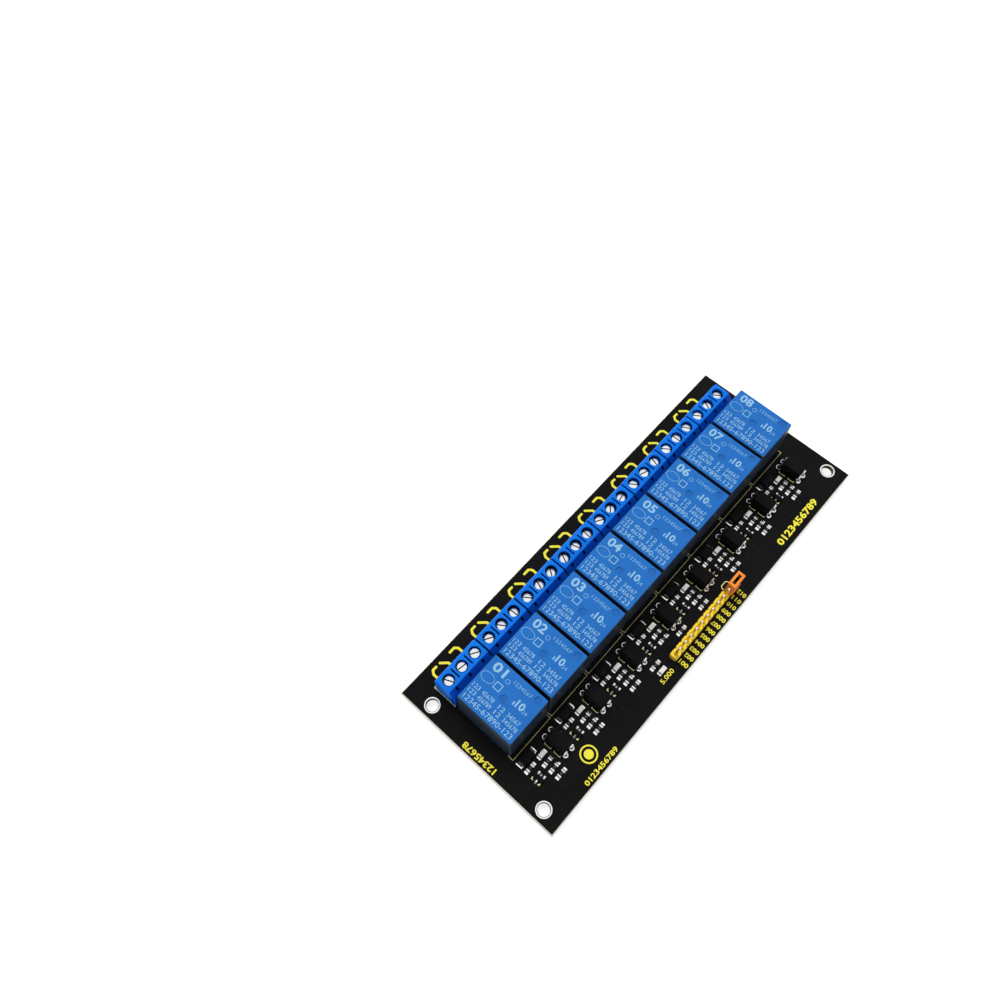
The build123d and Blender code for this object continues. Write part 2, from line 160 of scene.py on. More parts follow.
class HeaderLooks(PropertyGroup):
    strip: colour("Strip", "Yellow moulded strip", (1.0, 0.70, 0.05))
    # The deeper yellow is painted shade in the notches and in the recesses round the pins.
    notch: colour("Notch", "Deeper yellow in the notches and round the pins", (0.80, 0.30, 0.016))
    pin: colour("Pin", "Plated pins", (0.90, 0.90, 0.90))
    # The flanks' gold is a painted reflection of the yellow strip.
    flank_reflection: colour("Pin flank", "Sides of the same pins", (0.78, 0.62, 0.26))
    jumper: colour("Jumper", "Orange moulded cap", (1.0, 0.285, 0.042))
    # The dark inside of the window is painted shade.
    window: colour("Window", "The same cap inside its window", (0.22, 0.035, 0.008))
    # The clip's dark brown is painted shade inside the jumper; the same colour darkens the pins' tips under
    # it.
    clip: colour("Clip", "Spring clip in the jumper", (0.09, 0.05, 0.04))
    edge_radius: length("Edge radius", "Rounding of the mouldings' edges", 0.12)


class StudioLooks(PropertyGroup):
    sky: share("Sky", "Strength of the even light from all round", 0.44, 4.0)
    key: share("Key", "Strength of the soft lamp overhead", 1.95, 20.0)
    rim: share("Rim", "Strength of the lamp behind, which lights edges", 0.30, 20.0)
    spread: FloatProperty(
        name="Spread", description="Width of the lamps, as seen from the board",
        default=math.radians(24), subtype="ANGLE")
    floor: colour("Floor", "Pale floor", (0.66, 0.66, 0.66))
    glow: share("Floor glow", "What brings the unshaded floor up to white for the camera", 0.74)
    lens: FloatProperty(name="Lens", description="Focal length in millimetres", default=31.154, min=1)


GROUPS = {
    "relay_board_base": BoardLooks,
    "relay_board_relays": RelayLooks,
    "relay_board_terminals": TerminalLooks,
    "relay_board_drive": DriveLooks,
    "relay_board_header": HeaderLooks,
    "relay_board_studio": StudioLooks,
}


def looks_of(group):
    return getattr(bpy.context.scene, group)


# Places from the frame

def merged(node):
    """A copy of a CAD node with its loose triangles joined."""
    bm = bmesh.new()
    bm.from_mesh(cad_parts[node].data)
    bmesh.ops.remove_doubles(bm, verts=bm.verts, dist=SAME)
    return bm


def stands(node):
    """The lowest and highest corners of each solid in a node, from left to right."""
    bm = merged(node)
    boxes = []
    for first in bm.verts:
        if first.tag:
            continue
        first.tag = True
        found = [first]
        for vert in found:
            for edge in vert.link_edges:
                other = edge.other_vert(vert)
                if not other.tag:
                    other.tag = True
                    found.append(other)
        corners = list(zip(*(vert.co for vert in found)))
        boxes.append((Vector(min(c) for c in corners), Vector(max(c) for c in corners)))
    bm.free()
    return sorted(boxes, key=lambda box: (round(box[0].x, 6), round(box[0].y, 6)))


def axes(node):
    """Where the upright middle line of each solid in a node stands."""
    return [((low.x + high.x) / 2, (low.y + high.y) / 2) for low, high in stands(node)]


def on_board(node):
    """A place on the board's top for each solid in a node."""
    return [Matrix.Translation((x, y, BOARD_TOP)) for x, y in axes(node)]


def in_channel(side, row, channel):
    """A place in millimetres from a channel's middle and from the front edge."""
    return MIDDLES[channel] + side * MM, FRONT + row * MM


def in_every_channel(*paths):
    """Paths of points in millimetres, repeated in each channel."""
    return [[in_channel(*point, n) for point in path] for n in range(CHANNELS) for path in paths]


def on_grid(x, row):
    """A place in millimetres from the board's left and front edges."""
    return LEFT + x * MM, FRONT + row * MM


def in_mm(*points):
    """Points in millimetres, as metres."""
    return [tuple(size * MM for size in point) for point in points]


def near(spot, places, reach):
    """Whether a spot lies within reach of one of the places, seen from above."""
    return any(math.hypot(spot.x - x, spot.y - y) < reach for x, y in places)


# Shapes

def box_into(bm, low, high):
    """A box between two corners."""
    low, high = Vector(low), Vector(high)
    place = Matrix.Translation((low + high) / 2) @ Matrix.Diagonal((*(high - low), 1))
    return bmesh.ops.create_cube(bm, size=1, matrix=place)["verts"]


def post_into(bm, centre, radius, height, sides, end_radius=None):
    """A round post that starts at its centre and rises, or sinks where its height is negative."""
    end_radius = radius if end_radius is None else end_radius
    foot, head = (radius, end_radius) if height > 0 else (end_radius, radius)
    place = Matrix.Translation(Vector(centre) + Vector((0, 0, height / 2)))
    bmesh.ops.create_cone(
        bm, cap_ends=True, segments=sides, radius1=foot, radius2=head, depth=abs(height), matrix=place)


def turned(outline, sides):
    """A round shape from an outline of radii and heights."""
    bm = bmesh.new()
    verts = [bm.verts.new((radius, 0, z)) for radius, z in outline]
    edges = [bm.edges.new(pair) for pair in zip(verts, verts[1:])]
    bmesh.ops.spin(
        bm, geom=verts + edges, cent=(0, 0, 0), axis=(0, 0, 1), angle=math.tau, steps=sides, use_merge=True)
    bmesh.ops.remove_doubles(bm, verts=bm.verts, dist=SAME)
    bmesh.ops.recalc_face_normals(bm, faces=bm.faces)
    return bm


def sharp_edges(bm, degrees=30):
    return [e for e in bm.edges if e.is_manifold and e.calc_face_angle(0) > math.radians(degrees)]


def edges_above(bm, level):
    """The edges that have an end above a level."""
    return [edge for edge in bm.edges if max(vert.co.z for vert in edge.verts) > level]


def lies_level(edge):
    return abs(edge.verts[0].co.z - edge.verts[1].co.z) < SAME


def round_edges(bm, edges, radius, segments=2):
    bmesh.ops.bevel(
        bm, geom=edges, offset=radius, offset_type="OFFSET", segments=segments, profile=0.5,
        affect="EDGES", clamp_overlap=True, material=-1)


def rounded_box(low, high, radius, segments=2):
    bm = bmesh.new()
    box_into(bm, low, high)
    round_edges(bm, list(bm.edges), radius, segments)
    return bm


def slab(x, y, z, edge, segments=2):
    """A rounded box between three ranges in millimetres."""
    return rounded_box(*in_mm(*zip(x, y, z)), edge * MM, segments)


def fillet_lump(inner, outer, half_width, height, lip):
    """Solder that falls from the end of a part to its pad's outer lip, in millimetres along +X."""
    bm = bmesh.new()
    low, high = in_mm((inner, -half_width, 0), (outer, half_width, height))
    for vert in box_into(bm, low, high):
        if vert.co.z > 0 and vert.co.x > (low[0] + high[0]) / 2:
            vert.co.z = lip * MM
    round_edges(bm, edges_above(bm, 0), 0.09 * MM, 3)
    return bm


def facing_both_ways(bm):
    """A shape and its half turn about Z."""
    return spread(bm, [Matrix.Identity(4), Matrix.Rotation(math.pi, 4, "Z")])


def linked(name, data):
    """A new object in the scene."""
    thing = bpy.data.objects.new(name, data)
    bpy.context.scene.collection.objects.link(thing)
    return thing


def mesh_of(bm, name):
    """A shape as a mesh, and the shape itself freed."""
    mesh = bpy.data.meshes.new(name)
    bm.to_mesh(mesh)
    bm.free()
    return mesh


def object_of(bm, name):
    return linked(name, mesh_of(bm, name))


def taken(thing):
    """An object's finished shape, and the object itself removed."""
    finished = thing.evaluated_get(bpy.context.evaluated_depsgraph_get())
    bm = bmesh.new()
    bm.from_mesh(bpy.data.meshes.new_from_object(finished))
    bpy.data.objects.remove(thing)
    return bm


def carved(bm, *cutters):
    """A shape with one cutter after another taken out of it."""
    body = object_of(bm, "carved")
    tools = [object_of(cutter, "cutter") for cutter in cutters]
    for tool in tools:
        cut = body.modifiers.new("cut", "BOOLEAN")
        cut.operation = "DIFFERENCE"
        cut.solver = "EXACT"
        cut.object = tool
    result = taken(body)
    for tool in tools:
        bpy.data.objects.remove(tool)
    return result


def thickened(bm, thickness, even):
    """A solid wall on both sides of an open sheet."""
    sheet = object_of(bm, "sheet")
    wall = sheet.modifiers.new("wall", "SOLIDIFY")
    wall.thickness = thickness
    wall.offset = 0
    wall.use_even_offset = even
    return taken(sheet)


def spread(unit, places):
    """Copies of one shape, each at its own place."""
    mesh = mesh_of(unit, "unit")
    many = bmesh.new()
    for place in places:
        count = len(many.verts)
        many.from_mesh(mesh)
        many.verts.ensure_lookup_table()
        bmesh.ops.transform(many, matrix=place, verts=many.verts[count:])
    bpy.data.meshes.remove(mesh)
    return many


def joined(*parts):
    whole = bmesh.new()
    for part in parts:
        mesh = mesh_of(part, "part")
        whole.from_mesh(mesh)
        bpy.data.meshes.remove(mesh)
    return whole


def only(kind, geometry):
    return [item for item in geometry if isinstance(item, kind)]


def cad_shape(node):
    """A copy of a CAD node with its flat faces whole."""
    bm = merged(node)
    bmesh.ops.dissolve_limit(bm, angle_limit=math.radians(1), verts=bm.verts, edges=bm.edges)
    return bm


def softened(node, radius, segments=2):
    """A copy of a CAD node with its sharp edges rounded."""
    bm = cad_shape(node)
    round_edges(bm, sharp_edges(bm, 10), radius, segments)
    return bm


def paint_faces(bm, chosen):
    """Give a piece's second material to the faces that a test of their middle and normal picks."""
    for face in bm.faces:
        if chosen(face.calc_center_median(), face.normal):
            face.material_index = 1


def piece(name, bm, materials, slot, *nodes):
    """Make a finished piece of the board, shaded smooth up to its sharp edges."""
    for face in bm.faces:
        face.smooth = True
    for edge in bm.edges:
        edge.smooth = edge.is_manifold and edge.calc_face_angle(0) < SMOOTH_BELOW
    thing = object_of(bm, name)
    for material in materials if isinstance(materials, tuple) else (materials,):
        thing.data.materials.append(material)
    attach(thing, "root")
    if nodes:
        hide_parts(*nodes)
    return thing


def strokes(paths, width, height, corner=0.0, bottom=BOARD_TOP):
    """Flat lines of one width along open or closed paths of points."""
    bm = bmesh.new()
    for path in paths:
        closed = path[0] == path[-1] and len(path) > 2
        verts = [bm.verts.new((x, y, bottom)) for x, y in (path[:-1] if closed else path)]
        ends = verts[1:] + verts[:1] if closed else verts[1:]
        for pair in zip(verts, ends):
            bm.edges.new(pair)
    raised = bmesh.ops.extrude_edge_only(bm, edges=bm.edges[:])
    bmesh.ops.translate(bm, vec=(0, 0, height), verts=only(BMVert, raised["geom"]))
    flat = thickened(bm, width, True)
    if corner:
        upright = [e for e in sharp_edges(flat) if abs(e.verts[0].co.z - e.verts[1].co.z) > height / 2]
        round_edges(flat, upright, corner, 3)
    return flat


def oval(x, y, across, along, steps):
    """A closed path round an oval."""
    points = [
        (x + across * math.cos(math.tau * k / steps), y + along * math.sin(math.tau * k / steps))
        for k in range(steps)
    ]
    return points + points[:1]


def numerals(text, height, place, turn, span, weight, depth):
    """Plain printed figures, centred on their place and stretched to a span along their line."""
    # The share of the font's size that its figures stand high
    figure_share = 0.72
    curve = bpy.data.curves.new("numerals", "FONT")
    curve.body = text
    curve.size = height / figure_share
    curve.offset = weight
    curve.extrude = depth / 2
    curve.resolution_u = 2
    bm = taken(linked("numerals", curve))
    bpy.data.curves.remove(curve)
    bmesh.ops.remove_doubles(bm, verts=bm.verts, dist=SAME)
    lows = [min(v.co[axis] for v in bm.verts) for axis in range(3)]
    highs = [max(v.co[axis] for v in bm.verts) for axis in range(3)]
    centre = [(low + high) / 2 for low, high in zip(lows, highs)]
    centre[2] = lows[2]
    stretch = Matrix.Diagonal((span / (highs[0] - lows[0]), 1, 1, 1))
    fit = (
        Matrix.Translation(place) @ Matrix.Rotation(turn, 4, "Z") @ stretch
        @ Matrix.Translation([-c for c in centre])
    )
    bmesh.ops.transform(bm, matrix=fit, verts=bm.verts)
    return bm


# Materials

def surface(name, tint, roughness, specular, metallic=0.0):
    """A material with its constant values on the shader itself."""
    material = bpy.data.materials.new(name)
    material.use_nodes = True
    shader = material.node_tree.nodes["Principled BSDF"]
    shader.inputs["Base Color"].default_value = (*tint, 1)
    shader.inputs["Roughness"].default_value = roughness
    shader.inputs["Specular IOR Level"].default_value = specular
    shader.inputs["Metallic"].default_value = metallic
    return material


def added(material, kind, **settings):
    """A new node of a material, with its settings."""
    node = material.node_tree.nodes.new("ShaderNode" + kind)
    for setting, value in settings.items():
        setattr(node, setting, value)
    return node


def link(material, value, socket):
    material.node_tree.links.new(value, socket)


def into(material, socket, value):
    link(material, value, material.node_tree.nodes["Principled BSDF"].inputs[socket])


def coordinates(material):
    return added(material, "TexCoord").outputs["Object"]


def grain(material, scale, detail=3.0, stretch=(1, 1, 1)):
    """Noise over the object's own coordinates."""
    fit = added(material, "Mapping")
    fit.inputs["Scale"].default_value = stretch
    cloud = added(material, "TexNoise")
    cloud.inputs["Scale"].default_value = scale
    cloud.inputs["Detail"].default_value = detail
    link(material, coordinates(material), fit.inputs["Vector"])
    link(material, fit.outputs["Vector"], cloud.inputs["Vector"])
    return cloud.outputs["Fac"]


def ranged(material, value, low, high, start=0.3, stop=0.7):
    """Spread a value that runs from start to stop over another range."""
    node = added(material, "MapRange")
    node.inputs["From Min"].default_value = start
    node.inputs["From Max"].default_value = stop
    node.inputs["To Min"].default_value = low
    node.inputs["To Max"].default_value = high
    link(material, value, node.inputs["Value"])
    return node.outputs["Result"]


def blended(material, factor, first, second):
    """Mix two colours, each three numbers or a socket."""
    node = added(material, "Mix", data_type="RGBA")
    link(material, factor, node.inputs["Factor"])
    for letter, value in (("A", first), ("B", second)):
        target = next(s for s in node.inputs if s.name == letter and s.type == "RGBA")
        if isinstance(value, NodeSocket):
            link(material, value, target)
        else:
            target.default_value = (*value, 1)
    return next(s for s in node.outputs if s.type == "RGBA")


def shade(tint, factor):
    return tuple(min(1.0, part * factor) for part in tint)


def mottled(material, tint, cloud, dark, pale):
    """A colour that a noise takes from one shade of it to another."""
    return blended(material, ranged(material, cloud, 0, 1), shade(tint, dark), shade(tint, pale))


def bumped(material, value, distance, strength=0.5):
    node = added(material, "Bump")
    node.inputs["Strength"].default_value = strength
    node.inputs["Distance"].default_value = distance
    link(material, value, node.inputs["Height"])
    into(material, "Normal", node.outputs["Normal"])


def part_of(material, vector, axis):
    node = added(material, "SeparateXYZ")
    link(material, vector, node.inputs["Vector"])
    return node.outputs[axis]


def facing(material, axis):
    """One part of the surface's own normal."""
    return part_of(material, added(material, "NewGeometry").outputs["Normal"], axis)


def level(material):
    return part_of(material, coordinates(material), "Z")


def amount(material, value):
    """A value without its sign."""
    node = added(material, "Math", operation="ABSOLUTE")
    link(material, value, node.inputs[0])
    return node.outputs["Value"]


def corner_turn(material):
    """How far the surface turns from facing along X or Y, up to a half on an upright corner."""
    node = added(material, "Math", operation="MULTIPLY")
    for socket, axis in zip(node.inputs, "XY"):
        link(material, amount(material, facing(material, axis)), socket)
    return node.outputs["Value"]


def moulding(name, tint, roughness=0.40, specular=0.16, change=0.08):
    """Moulded plastic: a faint flow mottle, a fine spark-eroded grain and uneven gloss."""
    material = surface(name, tint, roughness, specular)
    into(material, "Base Color", mottled(material, tint, grain(material, 260, 2), 1 - change, 1 + change))
    fine = grain(material, 9000, 2)
    into(material, "Roughness", ranged(material, fine, roughness - 0.07, roughness + 0.07))
    bumped(material, fine, 0.006 * MM, 0.35)
    return material


def plating(name, tint, roughness=0.26, uneven=0.03 * MM, change=0.14, scale=2200, metallic=1.0):
    """Bright metal with an uneven skin."""
    material = surface(name, tint, roughness, 0.5, metallic)
    skin = grain(material, scale, 3)
    into(material, "Base Color", mottled(material, tint, skin, 1 - change, 1 + change * 0.5))
    into(material, "Roughness", ranged(material, skin, roughness - 0.06, roughness + 0.12))
    bumped(material, skin, uneven, 0.5)
    return material


def printing(name, tint, roughness=0.6):
    """Screen-printed ink, a little thin in places."""
    material = surface(name, tint, roughness, 0.08)
    thin = grain(material, 4200, 3)
    into(material, "Base Color", mottled(material, tint, thin, 0.88, 1.04))
    into(material, "Roughness", ranged(material, thin, roughness + 0.1, roughness - 0.1))
    bumped(material, thin, 0.004 * MM, 0.3)
    return material


def board_skin(looks):
    """Satin black mask on both faces and the laid glass fibre of the core on every edge."""
    material = surface("solder_mask", looks.mask, 0.42, 0.045)
    black = mottled(material, looks.mask, grain(material, 90, 4), 0.85, 1.25)
    fibre = mottled(material, looks.core, grain(material, 900, 2, (0.12, 0.12, 6.0)), 0.74, 1.08)
    flat = ranged(material, amount(material, facing(material, "Z")), 0, 1, 0.85, 0.95)
    into(material, "Base Color", blended(material, flat, fibre, black))
    peel = grain(material, 2600, 2)
    into(material, "Roughness", ranged(material, peel, 0.36, 0.50))
    bumped(material, peel, 0.008 * MM, 0.35)
    return material


def track_skin(looks):
    """The same mask, painted lighter where a track lifts it: a painted highlight."""
    material = surface("track_mask_painted_highlight", shade(looks.mask, 1.5), 0.4, 0.05)
    into(material, "Base Color", mottled(material, looks.mask, grain(material, 500, 3), 1.3, 1.8))
    bumped(material, grain(material, 2600, 2), 0.006 * MM, 0.3)
    return material


def relay_skin(looks):
    """Blue on top and painted shade in slate down the walls, with the blue carried over the upper edge as
    painted light.
    """
    side, top = looks.side, looks.top
    material = surface("relay_case", top, 0.34, 0.04)
    low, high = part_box("relay_cover_1")
    # Painted light and shade: the walls grow lighter towards their upper edge.
    painted_light_rise = ranged(material, level(material), 0, 1, high.z - 1.3 * MM, high.z - 0.1 * MM)
    painted_lit_brim = tuple(a + (b - a) * 0.22 for a, b in zip(side, top))
    wall = blended(material, painted_light_rise, side, painted_lit_brim)
    # Painted shade: the walls darken towards their foot.
    foot = ranged(material, level(material), 0, 1, low.z, low.z + 2.0 * MM)
    wall = blended(material, foot, shade(side, 0.75), wall)
    # Painted highlight: paler slate on the upright rounded corners.
    corner = ranged(material, corner_turn(material), 0, 1, 0.25, 0.5)
    wall = blended(material, corner, wall, looks.corner)
    lid = mottled(material, top, grain(material, 300, 2), 0.95, 1.06)
    flat = ranged(material, facing(material, "Z"), 0, 1, 0.30, 0.85)
    into(material, "Base Color", blended(material, flat, wall, lid))
    fine = grain(material, 8000, 2)
    into(material, "Roughness", ranged(material, fine, 0.28, 0.42))
    bumped(material, fine, 0.005 * MM, 0.3)
    return material


def terminal_skin(looks):
    """Bright blue moulding, with painted shade in a deeper blue down its front slope."""
    material = moulding("terminal_blue_slope_shade", looks.body, 0.42, 0.05, 0.05)
    face = mottled(material, looks.body, grain(material, 260, 2), 0.95, 1.05)
    # Painted shade: the faces that slope to the front take the deeper blue.
    painted_slope_shade = ranged(material, facing(material, "Y"), 0, 1, -0.35, -0.70)
    into(material, "Base Color", blended(material, painted_slope_shade, face, looks.slope))
    return material


def well_shade_skin(looks, top):
    """The same moulding with painted shade down the wells: the blue darkens with depth below the top."""
    material = moulding("terminal_well_painted_shade", looks.well, 0.5, 0.05)
    # Painted shade: dark from 1.35 mm below the top, body blue from 0.35 mm below it up.
    depth = ranged(material, level(material), 0, 1, top - 1.35 * MM, top - 0.35 * MM)
    into(material, "Base Color", blended(material, depth, looks.well, looks.body))
    return material


def pin_skin(looks):
    """Plated pins, silver on their tips, with a painted reflection of the yellow strip in gold down their
    flanks.
    """
    material = plating("pin_plating", looks.pin, 0.22)
    tip = ranged(material, facing(material, "Z"), 0, 1, 0.15, 0.55)
    into(material, "Base Color", blended(material, tip, looks.flank_reflection, looks.pin))
    return material


def dress(node, material):
    """Give a CAD node that stays its finish."""
    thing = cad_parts[node]
    if not thing.data.materials:
        thing.data.materials.append(material)
    for holder in thing.material_slots:
        holder.material = material


# Pieces

class RELAYBOARD_OT_board(Operator):
    """Finish the circuit board and lay the bare plated rings of its fixing holes"""
    bl_idname = "relayboard.board"
    bl_label = "Circuit board"

    def execute(self, context):
        looks = looks_of("relay_board_base")
        inset_x, inset_front, inset_back = 3.55 * MM, 5.9 * MM, 8.85 * MM
        rows = (FRONT + inset_front, BOARD_HIGH.y - inset_back)
        holes = [(side * (BOARD_HIGH.x - inset_x), row) for row in rows for side in (-1, 1)]

        def on_outline(edge):
            return lies_level(edge) and any(
                all(abs(vert.co[axis] - end[axis]) < SAME for vert in edge.verts)
                for axis in (0, 1)
                for end in (BOARD_LOW, BOARD_HIGH)
            )

        def on_rim(edge):
            middle = (edge.verts[0].co + edge.verts[1].co) / 2
            folded = lies_level(edge) and edge.calc_face_angle(0) > 1
            return folded and near(middle, holes, looks.bore_radius)

        def in_bore(spot, normal):
            inset = 2 * looks.scored
            return abs(normal.z) < 0.9 and all(
                low + inset < at < high - inset
                for low, at, high in zip(BOARD_LOW[:2], spot[:2], BOARD_HIGH[:2])
            )

        sheet = cad_shape("circuit_board")
        round_edges(sheet, [edge for edge in sheet.edges if on_outline(edge)], looks.scored, 1)
        round_edges(sheet, [edge for edge in sheet.edges if on_rim(edge)], looks.rim, 1)
        # Painted shade: the walls of the holes and the slopes round the fixing holes take the dark bore
        # colour.
        paint_faces(sheet, in_bore)
        shaded_bore_fibre = moulding("bore_fibre_painted_shade", looks.bore, 0.7, 0.1, 0.3)
        piece("bare_board", sheet, (board_skin(looks), shaded_bore_fibre), "board", "circuit_board")

        outer, bore, lip = looks.ring_radius, looks.bore_radius, 0.05 * MM
        rings = [
            turned([
                (outer, face), (outer - lip, face + out), (bore + lip, face + out),
                (bore, face), (outer, face),
            ], 64)
            for face, out in ((BOARD_TOP, looks.pad_height), (BOARD_LOW.z, -looks.pad_height))
        ]
        places = [Matrix.Translation((x, y, 0)) for x, y in holes]
        metal = plating("ring_tin", looks_of("relay_board_drive").metal, 0.24, 0.02 * MM)
        piece("fixing_rings", spread(joined(*rings), places), metal, "tinned_pin")
        return {"FINISHED"}


class RELAYBOARD_OT_tracks(Operator):
    """Raise the tracks and covered vias under the mask, and lay the bare vias"""
    bl_idname = "relayboard.tracks"
    bl_label = "Tracks"

    def execute(self, context):
        looks = looks_of("relay_board_base")
        shared_runs = [
            [(-5.5, 13.0), (-4.4, 13.0), (-4.1, 13.13), (-3.4, 13.13)],
            [(-5.5, 11.1), (-4.4, 11.1), (-4.1, 10.79), (-3.4, 10.79)],
            [(-0.2, 10.79), (0.9, 10.79), (1.3, 10.44), (2.6, 10.44)],
            [(-4.7, 15.47), (-3.1, 15.47)],
            [(0.1, 15.47), (0.75, 16.1), (0.75, 18.9)],
            [(-1.6, 18.07), (-0.9, 18.07), (-0.9, 19.9)],
            [(2.63, 18.4), (2.63, 19.6)],
        ]
        front_runs = [
            [(-3.28, 8.2), (-3.28, 5.8)],
            [(5.17, 10.0), (5.17, 8.9), (2.5, 6.4), (2.5, 5.8)],
            [(6.9, 5.8), (6.9, 18.2)],
        ]
        clear_left, clear_right = 9 * MM, 3 * MM
        paths, vias = [], []
        for channel, middle in enumerate(MIDDLES):
            runs = front_runs
            if HEADER_LOW.x - clear_left < middle < HEADER_HIGH.x + clear_right:
                runs = []
            elif channel == 0:
                runs = front_runs[:2]
            paths += [[in_channel(*point, channel) for point in path] for path in shared_runs + runs]
            vias += [in_channel(*min(path, key=lambda point: point[1]), channel) for path in runs]
        raised = strokes(paths, 0.3 * MM, looks.track_height)
        ring = turned(in_mm((0.4, 0), (0.36, 0.03), (0.18, 0.03), (0.12, 0.005), (0, 0.005)), 20)
        covered = spread(ring, [Matrix.Translation((x, y, BOARD_TOP)) for x, y in vias])
        piece("covered_tracks", joined(raised, covered), track_skin(looks), "board")

        bare = turned(in_mm((0.34, 0), (0.30, 0.04), (0.14, 0.04), (0.10, 0.005), (0, 0.005)), 20)
        open_vias = [Matrix.Translation((*in_channel(-5.62, 12.13, n), BOARD_TOP)) for n in range(CHANNELS)]
        metal = plating("via_tin", shade(looks_of("relay_board_drive").dull, 1.6))
        piece("bare_vias", spread(bare, open_vias), metal, "tinned_pin")
        return {"FINISHED"}


class RELAYBOARD_OT_marks(Operator):
    """Print the yellow marks on the board"""
    bl_idname = "relayboard.marks"
    bl_label = "Printed marks"

    def execute(self, context):
        looks = looks_of("relay_board_base")
        ink = printing("yellow_ink", looks.ink)
        pale = printing("thin_yellow_ink", looks.thin_ink)
        height = looks.ink_height
        contact_line, rim_line, frame_line, part_line = 0.72 * MM, 0.45 * MM, 0.26 * MM, 0.17 * MM
        contacts = in_every_channel(
            [(-3.03, 53.06), (-4.66, 53.09), (-5.42, 52.03), (-5.33, 49.3)],
            [(-2.10, 53.30), (-0.17, 51.30), (-0.16, 49.3)],
            [(1.88, 53.10), (3.96, 53.13), (4.76, 52.25), (4.77, 49.3)],
        )
        disc_place, disc_radius, rim_radius = on_grid(22.3, 6.2), 1.35 * MM, 2.3 * MM
        disc = bmesh.new()
        post_into(disc, (*disc_place, BOARD_TOP), disc_radius, height, 40)
        rim = oval(*disc_place, rim_radius, rim_radius, 48)
        lines = [strokes(contacts, contact_line, height, 0.3 * MM), strokes([rim], rim_line, height), disc]
        piece("printed_lines", joined(*lines), ink, "board")

        part_frames = in_every_channel(
            [(-7.85, 22.0), (-7.85, 20.2), (7.35, 20.2), (7.35, 22.0)],
            [(-7.82, 41.4), (-7.82, 49.4), (7.8, 49.4)],
            [(1.65, 16.81), (1.18, 16.81), (1.18, 14.75), (1.55, 14.75)],
            [(1.55, 13.54), (1.18, 13.54), (1.18, 11.46), (1.65, 11.46)],
        )
        corners = in_every_channel(
            [(-8.0, 13.0), (-8.0, 13.5), (-7.4, 13.5)],
            [(-8.0, 11.35), (-8.0, 10.85), (-7.4, 10.85)],
        )
        jumper_frame = [on_grid(x, y) for x, y in (
            (84.6, 4.6), (84.6, 7.3), (85.1, 7.95), (87.0, 7.95), (87.5, 7.3), (87.5, 4.6))]
        lines = [
            strokes(part_frames, part_line, height),
            strokes(corners, frame_line, height),
            strokes([jumper_frame], frame_line, height),
        ]
        piece("printed_thin_lines", joined(*lines), pale, "board")

        # Each row's text, height, place, turn, length and added weight
        rows = [
            ("12345678", 1.8, (1.8, 27.4), QUARTER, 11.4, 0.07),
            ("0123456789", 1.45, (22.2, 1.75), 0, 13.0, 0.05),
            ("0123456789", 2.1, (117.3, 3.1), 0, 19.6, 0.10),
            ("5.000", 1.4, (53.3, 3.5), 0, 5.2, 0.03),
        ]
        pitch = (HEADER_HIGH.x - HEADER_LOW.x) / MM / HEADER_PINS
        first = (HEADER_LOW.x - LEFT) / MM + pitch / 2
        rows += [
            (f"{pin + 1:03d}", 1.35, (first + pin * pitch, 2.25), QUARTER, 2.95, 0.06)
            for pin in range(HEADER_PINS)
        ]
        figures = [
            numerals(text, tall * MM, (*on_grid(*spot), BOARD_TOP), turn, span * MM, weight * MM, height)
            for text, tall, spot, turn, span, weight in rows
        ]
        piece("printed_numbers", joined(*figures), ink, "board")
        return {"FINISHED"}


class RELAYBOARD_OT_relays(Operator):
    """Model the eight sealed relays with their rounded cases and gate marks"""
    bl_idname = "relayboard.relays"
    bl_label = "Relays"

    def execute(self, context):
        looks = looks_of("relay_board_relays")
        draft_x, draft_y = 0.29 * MM, 0.385 * MM
        wall, recess = 0.9 * MM, 2.05 * MM
        gates = in_mm((0.0, -0.15), (5.7, -7.1))
        low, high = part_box("relay_cover_1")
        centre = (low + high) / 2
        foot, head = low - centre, high - centre
        head.z -= looks.print_height
        case = bmesh.new()
        box_into(case, foot, head)
        for vert in case.verts:
            if vert.co.z > 0:
                vert.co.x -= math.copysign(draft_x, vert.co.x)
                vert.co.y -= math.copysign(draft_y, vert.co.y)
        round_edges(case, edges_above(case, 0), looks.edge_radius, 4)
        marks = bmesh.new()
        for gate in gates:
            post_into(marks, (*gate, head.z + MM), looks.dimple_radius, -MM - looks.dimple_depth, 40)
        hollow = bmesh.new()
        box_into(hollow, (foot.x + wall, foot.y + wall, foot.z - MM),
                 (head.x - wall, head.y - wall, foot.z + recess))
        case = carved(case, marks, hollow)

        def in_gate(spot, normal):
            sunk = head.z - MM < spot.z < head.z - 0.01 * MM
            return sunk and near(spot, gates, 1.01 * looks.dimple_radius)

        paint_faces(case, in_gate)
        skins = (relay_skin(looks), moulding("relay_gate", looks.gate))
        base = moulding("relay_base", looks.base)
        for n in range(CHANNELS):
            node = f"relay_cover_{n + 1}"
            bm = case.copy()
            bmesh.ops.translate(bm, vec=middle_of(node), verts=bm.verts)
            piece(f"relay_case_{n + 1}", bm, skins, "relay_case", node)
            dress(f"relay_base_{n + 1}", base)
        case.free()
        return {"FINISHED"}


